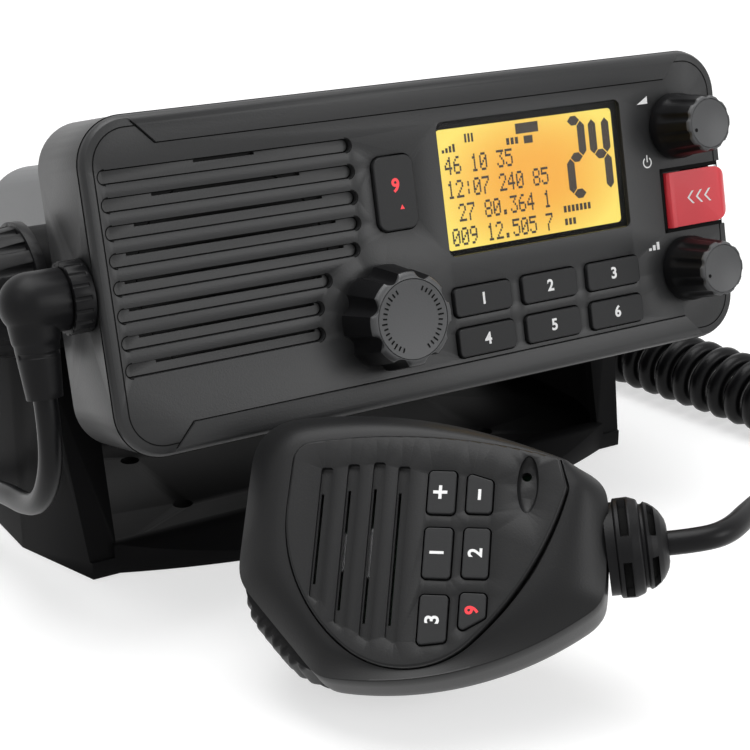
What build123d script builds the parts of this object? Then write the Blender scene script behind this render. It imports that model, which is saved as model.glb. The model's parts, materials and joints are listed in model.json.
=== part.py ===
from build123d import *
import math
import os

# A fixed-mount marine radio on a gimbal bracket, with its fist microphone on a curly cord.
# Millimetres. +Z is up, +X is the radio's right-hand side seen from the front, and the front
# faces -Y. The origin is on the mounting surface, midway between the bracket's four holes.
# The radio's own x runs across its face from the middle, y back from the face and z up from the
# panel's lower edge. What is laid out on the face keeps its share of the panel's size.

# Front moulding
panel_width = 161.0
panel_height = 68.0
mid_height = panel_height / 2
panel_corner = 10.0
panel_edge_round = 2.6
face_wall = 2.6
side_wall = 2.6
bezel_depth = 24.0
strip_rise = 0.7
strip_height = 6.0
strip_end_inset = 10.2
strip_slant = 5.8
gasket_thickness = 0.8
gasket_width = 1.6
chassis_flange = 3.0

# Loudspeaker and its grille
slot_count = 8
slot_height = 2.9
slot_pitch = 0.07985 * panel_height
slot_top = 0.8294 * panel_height
slot_left = -0.47143 * panel_width
slot_right = -0.13727 * panel_width
slot_recess = 1.5
slit_height = 0.8
speaker_x = -0.30745 * panel_width
speaker_z = 0.49118 * panel_height
speaker_radius = 0.15528 * panel_width
speaker_rim = 3.0
speaker_depth = 14.0
magnet_radius = 11.0
knob_to_slot_gap = 3.3

# Display
display_x = 0.16118 * panel_width
display_z = 0.64779 * panel_height
display_width = 0.31366 * panel_width
display_height = 0.43088 * panel_height
window_depth = 0.5
window_thickness = 0.7
lcd_thickness = 2.0
backlight_thickness = 2.6
fit_gap = 0.1

# Front keys
key_width = 0.09441 * panel_width
key_height = 0.09206 * panel_height
key_corner = 1.2
key_pitch_x = 0.11348 * panel_width
key_pitch_z = 0.13176 * panel_height
key_first_x = 0.0472 * panel_width
key_first_z = 0.28529 * panel_height
key_gap = 0.35
key_proud = 0.9
key_travel = 0.8
key_flange = 0.8
key_flange_rim = 0.8
key_edge_round = 0.35
channel_key_x = -0.07174 * panel_width
channel_key_z = 0.66397 * panel_height
channel_key_width = 0.06149 * panel_width
channel_key_height = 0.23088 * panel_height
channel_key_corner = 2.2
mat_thickness = 1.2
mat_margin = 1.4

# Rotary controls
select_x = -0.11118 * panel_width
select_z = 0.28676 * panel_height
select_face_radius = 9.1
select_skirt_radius = 11.3
select_height = 12.1
select_travel = 1.2
select_lobes = 8
scallop_radius = 5.0
small_x = 0.41429 * panel_width
volume_z = 0.74706 * panel_height
squelch_z = 0.25441 * panel_height
small_face_radius = 6.2
small_skirt_radius = 7.6
small_height = 12.7
dish_depth = 0.5
stem_radius = 3.0
stem_clearance = 0.06
stem_hole_gap = 0.4
knob_gap = 0.4
encoder_size = 12.0
pot_radius = 5.0
rotary_thickness = 3.2
switch_radius = 2.0
switch_length = 2.0
board_thickness = 1.6
board_left = -0.13665 * panel_width
board_right = 0.46584 * panel_width
board_margin = 5.5

# Covered call button at the right-hand edge
cover_left = 0.38696 * panel_width
cover_outside = 1.2
cover_proud = 1.0
cover_height = 0.18971 * panel_height
cover_z = 0.49632 * panel_height
cover_wall = 1.6
cover_corner = 3.6
cover_side_end = 8.5
cover_gap = 1.1
lug_thickness = 2.4
pin_radius = 1.0
pin_inset = 3.0
pin_depth = 5.0
pin_fit = 0.02
pin_clearance = 0.06
lug_radius = 2.4
pocket_depth = 12.0
pocket_wall = 1.6
spring_radius = 1.9
spring_clearance = 0.2
button_x = 0.41988 * panel_width
button_width = 7.5
button_height = 8.5
button_top = 3.0
button_travel = 1.0
button_stem_radius = 2.0

# Rear case
chassis_side_step = 14.0
chassis_half = panel_width / 2 - chassis_side_step
chassis_bottom = 5.0
chassis_top_step = 8.0
chassis_top = panel_height - chassis_top_step
chassis_back = 100.0
chassis_wall = 2.5
chassis_edge = 6.0
chassis_rear_round = 15.0
rib_count = 9
rib_thickness = 2.0
rib_pitch = 7.0
rib_rise = 3.0
main_board_z = 20.0
main_board_side_gap = 6.5
main_board_half = chassis_half - main_board_side_gap
main_board_margin = 5.0
post_radius = 2.5
antenna_x = -40.0
antenna_z = 40.0
antenna_thread_radius = 7.94
antenna_thread_length = 12.0
antenna_nut_radius = 11.0
antenna_nut_thickness = 4.0
antenna_bore = 2.0
gland_x = 40.0
gland_z = 30.0
gland_radius = 7.0
gland_length = 9.0
gland_bore = 3.5
screw_side_inset = 8.1
screw_x = panel_width / 2 - screw_side_inset
screw_inset = 7.0
screw_radius = 1.4
screw_head_radius = 2.6
screw_head_height = 1.8
screw_boss_radius = 3.2
screw_grip = 8.0
screw_clearance = 0.06

# Gimbal
pivot_depth = 43.0
pivot_height = mid_height
pivot_y = -19.3
pivot_z = 64.5
lean = 13.42
boss_radius = 8.0
stud_radius = 2.5
stud_depth = 12.0
stud_clearance = 0.06
washer_thickness = 1.7
washer_radius = 9.0
moving_gap = 0.3
arm_hole_gap = 0.3
knob_radius = 15.0
knob_flange = 2.2
knob_length = 12.0
knob_end_radius = 13.2
knob_flutes = 16
flute_radius = 1.3

# Bracket
bracket_front = -34.0
bracket_rear = 34.0
bracket_fold_y = -10.0
arm_side_gap = 2.0
arm_inner = chassis_half + arm_side_gap
arm_front_width = 6.4
bracket_front_half = arm_inner + arm_front_width
arm_width = 14.0
bracket_side_half = arm_inner + arm_width
arm_wall = 2.8
head_radius = 13.5
head_width = 11.1
head_outer = arm_inner + head_width
head_wall = 2.9
base_thickness = 4.0
base_lip = 7.0
lip_wall = 3.0
apron_bow = 14.0
base_hole_radius = 2.4
base_hole_half_x = 44.0
base_hole_half_y = 15.5
pad_width = 12.0
pad_length = 8.0
pad_thickness = 1.2
pad_inset = 9.0

# Microphone plug
plug_depth = 8.0
plug_z = mid_height
socket_radius = 6.1
socket_bore = 4.6
socket_length = 5.0
socket_fit = 0.04
ring_radius = 7.35
ring_length = 4.2
ring_gap = 0.4
ring_clearance = 0.06
ring_flutes = 18
ring_flute_radius = 0.45
plug_sleeve_radius = 5.5
plug_nose_radius = 4.4
plug_nose_length = 3.6
elbow_radius = 6.3
elbow_reach = 11.2
neck_radius = 4.5
neck_end_radius = 3.6
neck_drop = 18.6

# Fist microphone: x runs towards its cord, y across the face and z out of the face. Its outlines
# are drawn for a casing 69.5 long and grow with it.
handset_length = 69.5
hand_scale = handset_length / 69.5
handset_x = -43.0
handset_y = -121.0
handset_z = 35.5
handset_heading = -42.0
handset_lean = 47.0
handset_roll = 3.0
seam_depth = 7.0
front_rim_depth = 1.8
rim_slope = 2.4
rear_steps = [(23.0, 18.0), (28.0, 40.0), (31.5, 62.0), (33.5, 0.0)]
step_ledge = 0.4
rear_depth = 29.0
handset_wall = 2.2
plate_thickness = 3.0
plate_gap = 0.3
plate_ledge = 0.6
groove_depth = 1.1
groove_width = 2.3
groove_slit = 0.5
hand_key_proud = 0.5
hand_key_travel = 0.6
hand_key_gap = 0.3
hand_key_flange = 0.5
hand_key_rim = 0.4
hand_switch_height = 0.5
hand_board_depth = plate_thickness + 2 * moving_gap + hand_key_flange + hand_key_travel + hand_switch_height
hand_board_thickness = 1.4
capsule_radius = 5.0
capsule_thickness = 1.4
recess_depth = 1.6
boot_y = 5.8 * hand_scale
boot_turn = 8.0
boot_depth = 14.0
casing_end = 31.9 * hand_scale
boot_gap = 0.2
boot_start = casing_end + 1.5
boot_stub = 3.6
boot_stub_radius = 5.0
boot_collar_radius = 8.9
boot_length = 9.6
boot_root_radius = 9.4
boot_end_radius = 3.6
boot_slot = 1.5
ptt_length = 19.0
ptt_top = 9.0
ptt_bottom = 23.0
ptt_proud = 1.7
ptt_inside = 3.6
ptt_gap = 0.4
ptt_travel = 1.2
rib_size = 0.9
ptt_ribs = 7
hand_screw_radius = 1.2
hand_screw_head = 2.1
hand_screw_well = 2.4
hand_boss_radius = 2.8
hand_head_depth = 22.0
hand_head_height = 1.6
hand_screw_tip = 4.6
stud_seat_depth = 31.5
stud_flange_radius = 6.8
stud_flange = 3.0
stud_neck_radius = 3.6
stud_head_radius = 6.0
stud_head = 3.0
stud_end_depth = 45.7
stud_across = 0.0

# Cord
cord_diameter = 4.8
curl_diameter = 19.5
curl_lift = curl_diameter / 2

plug_run_out = 10.0
handset_run_out = 6.5

# Points of the cord's straight tail from below the plug to the curly part, chosen by hand
plug_tail = [
    (-91.6, -54.2, 32.5),
    (-91.3, -43.5, 25.4),
    (-91.0, -25.0, 22.0),
    (-91.4, -4.0, 15.5),
    (-91.8, 17.0, 7.0),
    (-89.5, 36.0, 2.6),
    (-78.0, 52.0, 2.6),
    (-60.0, 57.5, 2.6),
    (-41.0, 53.5, 5.0),
    (-22.9, 54.0, curl_lift),
    (-6.0, 56.0, curl_lift),
]
# Axis of the curly part, lying on the surface behind and beside the radio
curl_axis = [
    (-6.0, 56.0, curl_lift),
    (28.0, 60.0, curl_lift),
    (62.0, 59.0, curl_lift),
    (92.0, 45.0, curl_lift),
    (106.0, 16.0, curl_lift),
    (110.0, -14.0, curl_lift),
    (114.3, -40.0, curl_lift),
    (117.0, -66.0, curl_lift),
]
# Points of the straight tail from the curly part to just short of the microphone
handset_tail = [
    (117.0, -66.0, curl_lift),
    (118.4, -79.5, curl_lift),
    (113.0, -94.0, 5.6),
    (98.0, -103.0, 4.2),
    (77.0, -110.0, 11.5),
    (55.0, -119.2, 23.0),
    (36.0, -129.5, 32.3),
    (20.0, -138.0, 34.4),
    (10.8, -142.7, 34.7),
]

# Derived planes and places
key_back = face_wall + moving_gap
mat_front = key_back + key_flange + key_travel + moving_gap
board_front = mat_front + mat_thickness + moving_gap
rotary_back = board_front - moving_gap
gasket_front = bezel_depth - chassis_flange - gasket_thickness
flange_front = bezel_depth - chassis_flange
inner_half = panel_width / 2 - side_wall
inner_bottom = side_wall
inner_top = panel_height - side_wall
cover_right = panel_width / 2 + cover_outside
cover_x = (cover_left + cover_right) / 2
pin_x = panel_width / 2 - pin_inset
pocket_left = cover_left - cover_gap
pocket_bottom = cover_z - cover_height / 2 - cover_gap
pocket_top = cover_z + cover_height / 2 + cover_gap
boss_end = head_outer - head_wall - moving_gap - washer_thickness
knob_start = head_outer + moving_gap

boot_place = Location((boot_start, boot_y, -boot_depth), (0, 0, boot_turn))
boot_bore = Rot(0, 90, 0) * Cylinder(boot_stub_radius + fit_gap, 4 * boot_stub)
boot_hole = boot_place * Pos(boot_stub / 2, 0, 0) * boot_bore
radio_place = Location((0, pivot_y, pivot_z), (-lean, 0, 0)) * Location((0, -pivot_depth, -pivot_height))


def upright(outline, y_front, y_back, x=0.0, z=0.0):
    """A sketch stood up across the radio and thickened from y_front back to y_back."""
    return Pos(x, y_back, z) * extrude(Plane.XZ * outline, y_back - y_front)


def crosswise(outline, x_start, x_end, y=0.0, z=0.0):
    """A sketch drawn on the Y-Z plane and thickened from x_start to x_end."""
    return Pos(x_start, y, z) * extrude(Plane.YZ * outline, x_end - x_start)


def outline_of(points):
    """A flat face inside straight lines."""
    return make_face(Polyline(*points, close=True))


def span_box(x_low, x_high, y_low, y_high, z_low, z_high):
    """A plain block between six planes."""
    block = Box(x_high - x_low, y_high - y_low, z_high - z_low)
    return Pos((x_low + x_high) / 2, (y_low + y_high) / 2, (z_low + z_high) / 2) * block


def screw_places():
    """Where the four case screws stand, across and up the panel."""
    return [(side * screw_x, z) for side in (-1, 1) for z in (screw_inset, panel_height - screw_inset)]


def key_places():
    """Centres of the six front keys with their names."""
    places = []
    for row, row_name in enumerate(("upper", "lower")):
        for column, column_name in enumerate(("left", "middle", "right")):
            x = key_first_x + column * key_pitch_x
            z = key_first_z - row * key_pitch_z
            places.append((f"key_{row_name}_{column_name}", x, z))
    return places


def slot_ends(row):
    """Left and right end centres and the height of one grille slot; the lower ones stop short of the knob."""
    z = slot_top - row * slot_pitch
    reach = select_skirt_radius + knob_to_slot_gap + slot_height / 2
    drop = abs(z - select_z)
    right = slot_right
    if drop < reach:
        right = min(slot_right, select_x - math.sqrt(reach**2 - drop**2))
    return slot_left, right, z


def strips():
    """The two long raised strips along the panel's upper and lower edges."""
    over = 3.0
    edge_half = panel_width / 2 - strip_end_inset
    inner = edge_half - strip_slant
    outer = edge_half + over * strip_slant / strip_height
    upper = outline_of(
        [
            (-inner, panel_height - strip_height),
            (inner, panel_height - strip_height),
            (outer, panel_height + over),
            (-outer, panel_height + over),
        ]
    )
    both = upright(upper, -4 * strip_rise, 0)
    return both + mirror(both, about=Plane.XY.offset(mid_height))


def make_front_bezel():
    shell = upright(
        RectangleRounded(panel_width, panel_height, panel_corner), -strip_rise, bezel_depth, 0, mid_height
    )
    shell = fillet(shell.faces().sort_by(Axis.Y)[0].edges(), panel_edge_round)
    lowered = span_box(-panel_width, panel_width, -3 * strip_rise, 0, -panel_height, 2 * panel_height)
    shell -= lowered - strips()
    cavity = RectangleRounded(2 * inner_half, inner_top - inner_bottom, panel_corner - side_wall)
    shell -= upright(cavity, face_wall, bezel_depth, 0, mid_height)
    inner_height = inner_top - inner_bottom
    corner = panel_corner - side_wall
    ledge = RectangleRounded(2 * inner_half + side_wall, inner_height + side_wall, corner)
    ledge -= RectangleRounded(
        2 * (inner_half - gasket_width), inner_height - 2 * gasket_width, corner - gasket_width
    )
    shell += upright(ledge, gasket_front - gasket_width, gasket_front, 0, mid_height)
    for x, z in screw_places():
        shell += upright(Circle(screw_boss_radius), face_wall, gasket_front, x, z)
        pilot = Circle(screw_radius + screw_clearance)
        shell -= upright(pilot, gasket_front - screw_grip - 1, gasket_front, x, z)
    for row in range(slot_count):
        left, right, z = slot_ends(row)
        slot = SlotCenterToCenter(right - left, slot_height)
        shell -= upright(slot, -1, slot_recess, (left + right) / 2, z)
        slit_z = z + slot_height / 2 - slit_height / 2
        rise = abs(slit_z - speaker_z)
        if rise < speaker_radius:
            half = math.sqrt(speaker_radius**2 - rise**2)
            low = max(speaker_x - half, left)
            high = min(speaker_x + half, right)
            shell -= span_box(
                low, high, slot_recess - 1, face_wall + 1, slit_z - slit_height / 2, slit_z + slit_height / 2
            )
    shell -= upright(Rectangle(display_width, display_height), -1, face_wall + 1, display_x, display_z)
    for _, x, z in key_places():
        hole = RectangleRounded(key_width + 2 * key_gap, key_height + 2 * key_gap, key_corner + key_gap)
        shell -= upright(hole, -1, face_wall + 1, x, z)
    hole = RectangleRounded(
        channel_key_width + 2 * key_gap, channel_key_height + 2 * key_gap, channel_key_corner + key_gap
    )
    shell -= upright(hole, -1, face_wall + 1, channel_key_x, channel_key_z)
    for x, z in ((select_x, select_z), (small_x, volume_z), (small_x, squelch_z)):
        shell -= upright(Circle(stem_radius + stem_hole_gap), -1, face_wall + 1, x, z)
    shell += span_box(
        pocket_left - pocket_wall,
        panel_width / 2 - side_wall / 2,
        face_wall / 2,
        pocket_depth + pocket_wall,
        pocket_bottom - pocket_wall,
        pocket_top + pocket_wall,
    )
    shell -= span_box(pocket_left, panel_width, -panel_edge_round, pocket_depth, pocket_bottom, pocket_top)
    stem_hole = Circle(button_stem_radius + key_gap)
    shell -= upright(stem_hole, 0, pocket_depth + 2 * pocket_wall, button_x, cover_z)
    pin_hole = Cylinder(pin_radius + pin_fit, pocket_top - pocket_bottom + 1.2 * pocket_wall)
    shell -= Pos(pin_x, pin_depth, cover_z) * pin_hole
    socket_hole = Circle(socket_radius + socket_fit)
    hole_end = -panel_width / 2 + socket_length + fit_gap
    shell -= crosswise(socket_hole, -panel_width / 2 - 1, hole_end, plug_depth, plug_z)
    return shell


def make_display_window():
    plate = Rectangle(display_width - 2 * fit_gap, display_height - 2 * fit_gap)
    return upright(plate, window_depth, window_depth + window_thickness, display_x, display_z)


def make_lcd_glass():
    front = window_depth + window_thickness + fit_gap
    plate = Rectangle(display_width - 2 * fit_gap, display_height - 2 * fit_gap)
    return upright(plate, front, front + lcd_thickness, display_x, display_z)


def make_lcd_backlight():
    front = window_depth + window_thickness + lcd_thickness + 2 * fit_gap
    back = min(front + backlight_thickness, rotary_back)
    plate = Rectangle(display_width - 2 * fit_gap, display_height - 2 * fit_gap)
    return upright(plate, front, back, display_x, display_z)


def make_key(width, height, corner, x, z):
    cap = upright(RectangleRounded(width, height, corner), -key_proud, key_back, x, z)
    cap = fillet(cap.faces().sort_by(Axis.Y)[0].edges(), key_edge_round)
    rim = RectangleRounded(width + 2 * key_flange_rim, height + 2 * key_flange_rim, corner)
    return cap + upright(rim, key_back, key_back + key_flange, x, z)


def make_keypad_mat():
    low_x = key_first_x - key_width / 2 - mat_margin
    high_x = key_first_x + 2 * key_pitch_x + key_width / 2 + mat_margin
    low_z = key_first_z - key_pitch_z - key_height / 2 - mat_margin
    high_z = key_first_z + key_height / 2 + mat_margin
    channel_left = channel_key_x - channel_key_width / 2 - mat_margin
    channel_right = channel_key_x + channel_key_width / 2 + mat_margin
    channel_bottom = channel_key_z - channel_key_height / 2 - mat_margin
    channel_top = channel_key_z + channel_key_height / 2 + mat_margin
    link_right = display_x - display_width / 2 - fit_gap
    back = mat_front + mat_thickness
    mat = span_box(low_x, high_x, mat_front, back, low_z, high_z)
    mat += span_box(channel_left, channel_right, mat_front, back, channel_bottom, channel_top)
    link_left = channel_right - mat_margin
    mat += span_box(link_left, link_right - 1, mat_front, back, high_z - key_height, channel_top)
    return mat


def stem(x, z, knob_front):
    """The shaft moulded with a knob, from inside its cap back into the rotary part."""
    return upright(Circle(stem_radius), knob_front, rotary_back - moving_gap, x, z)


def make_small_knob(z):
    profile = outline_of(
        [
            (0, dish_depth - small_height),
            (small_face_radius - 1.2, dish_depth - small_height + 0.1),
            (small_face_radius - 0.6, -small_height),
            (small_face_radius - 0.2, 0.3 - small_height),
            (small_face_radius + 0.1, 1.2 - small_height),
            (small_skirt_radius - 0.5, -4.2),
            (small_skirt_radius, -2.2),
            (small_skirt_radius, -knob_gap),
            (0, -knob_gap),
        ]
    )
    knob = Pos(small_x, 0, z) * revolve(profile, Axis.Y)
    return knob + stem(small_x, z, -2 * knob_gap)


def make_select_knob():
    base = -select_travel - 2 * knob_gap
    profile = outline_of(
        [
            (0, dish_depth - select_height),
            (select_face_radius - 1.4, dish_depth - select_height + 0.1),
            (select_face_radius - 0.6, -select_height),
            (select_face_radius, 0.4 - select_height),
            (select_face_radius + 0.5, 1.6 - select_height),
            (select_skirt_radius - 0.2, -4.6),
            (select_skirt_radius, -3.4),
            (select_skirt_radius, base),
            (0, base),
        ]
    )
    knob = revolve(profile, Axis.Y)
    scallop = upright(Circle(scallop_radius), 1.7 - select_height, 0)
    lean_in = math.degrees(math.atan2(select_skirt_radius - select_face_radius, select_height))
    for turn in range(select_lobes):
        angle = 360 * (turn + 0.5) / select_lobes
        place = Rot(0, angle, 0) * Pos(select_skirt_radius + scallop_radius - 1.9, 0, 0) * Rot(0, 0, -lean_in)
        knob -= place * scallop
    return Pos(select_x, 0, select_z) * knob + stem(select_x, select_z, base - 1)


def make_rotary_body(outline, x, z):
    """Encoder or potentiometer behind the face, with the running bore for a knob's stem."""
    ring = outline - Circle(stem_radius + stem_clearance)
    return upright(ring, rotary_back - rotary_thickness, rotary_back, x, z)


def make_select_switch():
    front = rotary_back
    return upright(Circle(switch_radius), front, front + switch_length, select_x, select_z)


def make_front_board():
    back = board_front + board_thickness
    board = span_box(board_left, board_right, board_front, back, board_margin, panel_height - board_margin)
    clear = 2 * moving_gap
    board -= span_box(
        pocket_left - pocket_wall - clear,
        panel_width,
        0,
        pocket_depth + 2 * pocket_wall,
        pocket_bottom - pocket_wall - clear,
        pocket_top + pocket_wall + clear,
    )
    board -= upright(Circle(stem_radius + clear), 0, bezel_depth, select_x, select_z)
    for x, z in screw_places():
        board -= upright(Circle(screw_boss_radius + clear), 0, bezel_depth, x, z)
    return board


def make_speaker_frame():
    front = face_wall + fit_gap
    back = front + speaker_depth
    profile = outline_of(
        [
            (speaker_radius - speaker_rim, front),
            (speaker_radius, front),
            (speaker_radius, front + 2.0),
            (speaker_radius - speaker_rim + 0.5, front + 2.6),
            (magnet_radius + 1.2, back - 6.0),
            (magnet_radius, back - 6.0),
            (magnet_radius, back),
            (0, back),
            (0, back - 5.0),
            (magnet_radius - 1.0, back - 7.2),
            (speaker_radius - speaker_rim, front + 1.4),
        ]
    )
    return Pos(speaker_x, 0, speaker_z) * revolve(profile, Axis.Y)


def make_speaker_cone():
    front = face_wall + fit_gap
    outer = speaker_radius - speaker_rim - 0.3
    centre_depth = front + 5.2
    profile = outline_of(
        [
            (outer, front + 0.2),
            (outer, front + 1.0),
            (6.5, centre_depth),
            (0, centre_depth - 1.4),
            (0, centre_depth - 2.2),
            (6.0, centre_depth - 0.9),
            (outer - 1.2, front + 0.2),
        ]
    )
    return Pos(speaker_x, 0, speaker_z) * revolve(profile, Axis.Y)


def make_face_gasket():
    height = inner_top - inner_bottom - 2 * fit_gap
    corner = panel_corner - side_wall
    ring = RectangleRounded(2 * (inner_half - fit_gap), height, corner)
    opening = height + 2 * fit_gap - 2 * gasket_width
    ring -= RectangleRounded(2 * (inner_half - gasket_width), opening, corner - gasket_width)
    return upright(ring, gasket_front, gasket_front + gasket_thickness, 0, mid_height)


def make_rear_chassis():
    height = chassis_top - chassis_bottom
    middle = (chassis_top + chassis_bottom) / 2
    case = upright(
        RectangleRounded(2 * chassis_half, height, chassis_edge), flange_front, chassis_back, 0, middle
    )
    cutter = span_box(
        -chassis_half - 1, chassis_half + 1, chassis_back - chassis_rear_round, chassis_back + 1,
        chassis_top - chassis_rear_round, chassis_top + 1,
    )
    round_bar = crosswise(
        Circle(chassis_rear_round),
        -chassis_half - 1,
        chassis_half + 1,
        chassis_back - chassis_rear_round,
        chassis_top - chassis_rear_round,
    )
    case -= cutter - round_bar
    inner_width = 2 * (chassis_half - chassis_wall)
    inside = upright(
        RectangleRounded(inner_width, height - 2 * chassis_wall, chassis_edge - chassis_wall),
        flange_front,
        chassis_back - chassis_rear_round,
        0,
        middle,
    )
    inside += upright(
        Rectangle(inner_width, height - chassis_rear_round - 2 * chassis_wall),
        chassis_back - chassis_rear_round,
        chassis_back - chassis_wall,
        0,
        middle - chassis_rear_round / 2,
    )
    flange = RectangleRounded(
        2 * (inner_half - fit_gap), inner_top - inner_bottom - 2 * fit_gap, panel_corner - side_wall
    )
    case += upright(flange, flange_front, bezel_depth, 0, mid_height)
    case -= inside
    for x, z in screw_places():
        case -= upright(Circle(screw_radius + 2 * fit_gap), 0, bezel_depth + 1, x, z)
    stud_end = boss_end - stud_depth
    for side in (-1, 1):
        boss = crosswise(Circle(boss_radius), chassis_half - chassis_wall, boss_end, pivot_depth, pivot_height)
        boss += crosswise(Circle(boss_radius), stud_end, chassis_half, pivot_depth, pivot_height)
        bore = Circle(stud_radius + stud_clearance)
        bore = crosswise(bore, stud_end - 1, boss_end + 1, pivot_depth, pivot_height)
        boss -= bore
        if side < 0:
            boss = mirror(boss, about=Plane.YZ)
            bore = mirror(bore, about=Plane.YZ)
        case += boss
        case -= bore
    for rib in range(rib_count):
        x = (rib - (rib_count - 1) / 2) * rib_pitch
        if abs(x - antenna_x) > antenna_nut_radius + rib_thickness:
            case += span_box(
                x - rib_thickness / 2,
                x + rib_thickness / 2,
                chassis_back - 1,
                chassis_back + rib_rise,
                chassis_bottom + chassis_edge,
                chassis_top - chassis_rear_round,
            )
    wall_front = chassis_back - chassis_wall - 1
    case -= upright(Circle(antenna_bore + 2), wall_front, chassis_back + 1, antenna_x, antenna_z)
    case -= upright(Circle(gland_radius - 1), wall_front, chassis_back + 1, gland_x, gland_z)
    for x in (-main_board_half + 2 * post_radius, main_board_half - 2 * post_radius):
        for y in (bezel_depth + 3 * main_board_margin, chassis_back - 4 * main_board_margin):
            post = Cylinder(post_radius, main_board_z - chassis_bottom - chassis_wall / 2)
            case += Pos(x, y, (main_board_z + chassis_bottom + chassis_wall / 2) / 2) * post
    return case


def make_main_board():
    return span_box(
        -main_board_half,
        main_board_half,
        bezel_depth + main_board_margin,
        chassis_back - chassis_wall - main_board_margin,
        main_board_z,
        main_board_z + board_thickness,
    )


def make_antenna_socket():
    nut = RegularPolygon(antenna_nut_radius, 6)
    socket = upright(nut, chassis_back, chassis_back + antenna_nut_thickness, antenna_x, antenna_z)
    barrel_end = chassis_back + antenna_nut_thickness + antenna_thread_length
    barrel = upright(Circle(antenna_thread_radius), chassis_back, barrel_end, antenna_x, antenna_z)
    barrel -= upright(
        Circle(antenna_thread_radius - 1.6), barrel_end - 7.5, barrel_end, antenna_x, antenna_z
    )
    barrel += upright(Circle(antenna_bore + 1.6), barrel_end - 8, barrel_end - 1.5, antenna_x, antenna_z)
    barrel -= upright(Circle(antenna_bore), barrel_end - 9, barrel_end, antenna_x, antenna_z)
    return socket + barrel


def make_power_gland():
    tip = chassis_back + gland_length
    taper = extrude(Plane.XZ * Circle(gland_radius - 1.8), gland_length, taper=-8)
    gland = Pos(gland_x, tip, gland_z) * taper
    return gland - upright(Circle(gland_bore), chassis_back - 1, tip + 1, gland_x, gland_z)


def make_case_screws():
    screws = []
    for x, z in screw_places():
        screw = upright(Circle(screw_radius), gasket_front - screw_grip, bezel_depth, x, z)
        head = upright(Circle(screw_head_radius), bezel_depth, bezel_depth + screw_head_height, x, z)
        slot = upright(
            RegularPolygon(screw_radius * 0.8, 6), bezel_depth + screw_head_height / 2, bezel_depth + 3, x, z
        )
        screws.append(screw + head - slot)
    return Part() + screws


def make_washer(side):
    ring = Circle(washer_radius) - Circle(stud_radius + 2 * stud_clearance)
    washer = crosswise(ring, boss_end, boss_end + washer_thickness, pivot_depth, pivot_height)
    return washer if side > 0 else mirror(washer, about=Plane.YZ)


def make_gimbal_knob(side):
    end = knob_start + knob_length
    knob = crosswise(Circle(knob_radius), knob_start, knob_start + knob_flange)
    grip = Pos(knob_start + knob_flange, 0, 0) * extrude(
        Plane.YZ * Circle(knob_radius - 0.8), knob_length - knob_flange, taper=7
    )
    for flute in range(knob_flutes):
        cut = crosswise(Circle(flute_radius), knob_start + knob_flange, end + 1)
        place = Rot(360 * flute / knob_flutes, 0, 0) * Pos(0, knob_end_radius + 0.9 * flute_radius, 0)
        grip -= place * cut
    knob += grip
    knob -= crosswise(Circle(knob_end_radius - 3.0), end - 1.2, end + 1)
    knob += crosswise(Circle(stud_radius), boss_end - stud_depth, knob_start + 1)
    knob = Pos(0, pivot_depth, pivot_height) * knob
    return knob if side > 0 else mirror(knob, about=Plane.YZ)


def make_mic_socket():
    inside = -panel_width / 2 + socket_length
    cup = crosswise(Circle(socket_radius), -panel_width / 2, inside, plug_depth, plug_z)
    return cup - crosswise(Circle(socket_bore), -panel_width / 2 - 1, inside - 1, plug_depth, plug_z)


def make_mic_plug():
    wall = -panel_width / 2
    ring_end = wall - ring_gap - ring_length
    elbow_x = wall - elbow_reach
    plug = crosswise(Circle(plug_nose_radius), wall - ring_gap, wall + plug_nose_length)
    plug += crosswise(Circle(plug_sleeve_radius), ring_end - 1, wall - ring_gap)
    plug += crosswise(Circle(elbow_radius), elbow_x, ring_end - moving_gap)
    plug += Pos(elbow_x, 0, 0) * Sphere(elbow_radius)
    neck_profile = outline_of(
        [
            (0, 0),
            (elbow_radius - 0.8, 0),
            (neck_radius + 0.3, -elbow_radius - 1.0),
            (neck_radius, -elbow_radius - 1.6),
            (neck_end_radius, -neck_drop),
            (0, -neck_drop),
        ]
    )
    neck = revolve(Plane.XZ * neck_profile, Axis.Z)
    for row in range(3):
        groove_z = -elbow_radius - 3.6 - row * 3.0
        cutter = Torus(neck_radius + 0.35, 0.75)
        bridge = Box(1.8, 4 * neck_radius, 4) if row % 2 else Box(4 * neck_radius, 1.8, 4)
        neck -= Pos(0, 0, groove_z) * (cutter - bridge)
    plug += Pos(elbow_x, 0, 0) * neck
    return Pos(0, plug_depth, plug_z) * plug


def make_mic_plug_ring():
    start = -panel_width / 2 - ring_gap
    ring = crosswise(
        Circle(ring_radius) - Circle(plug_sleeve_radius + ring_clearance), start - ring_length, start
    )
    for flute in range(ring_flutes):
        cut = crosswise(Circle(ring_flute_radius), start - ring_length, start - 0.8)
        place = Rot(360 * flute / ring_flutes, 0, 0) * Pos(0, ring_radius + ring_flute_radius / 3, 0)
        ring -= place * cut
    return Pos(0, plug_depth, plug_z) * ring


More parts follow.
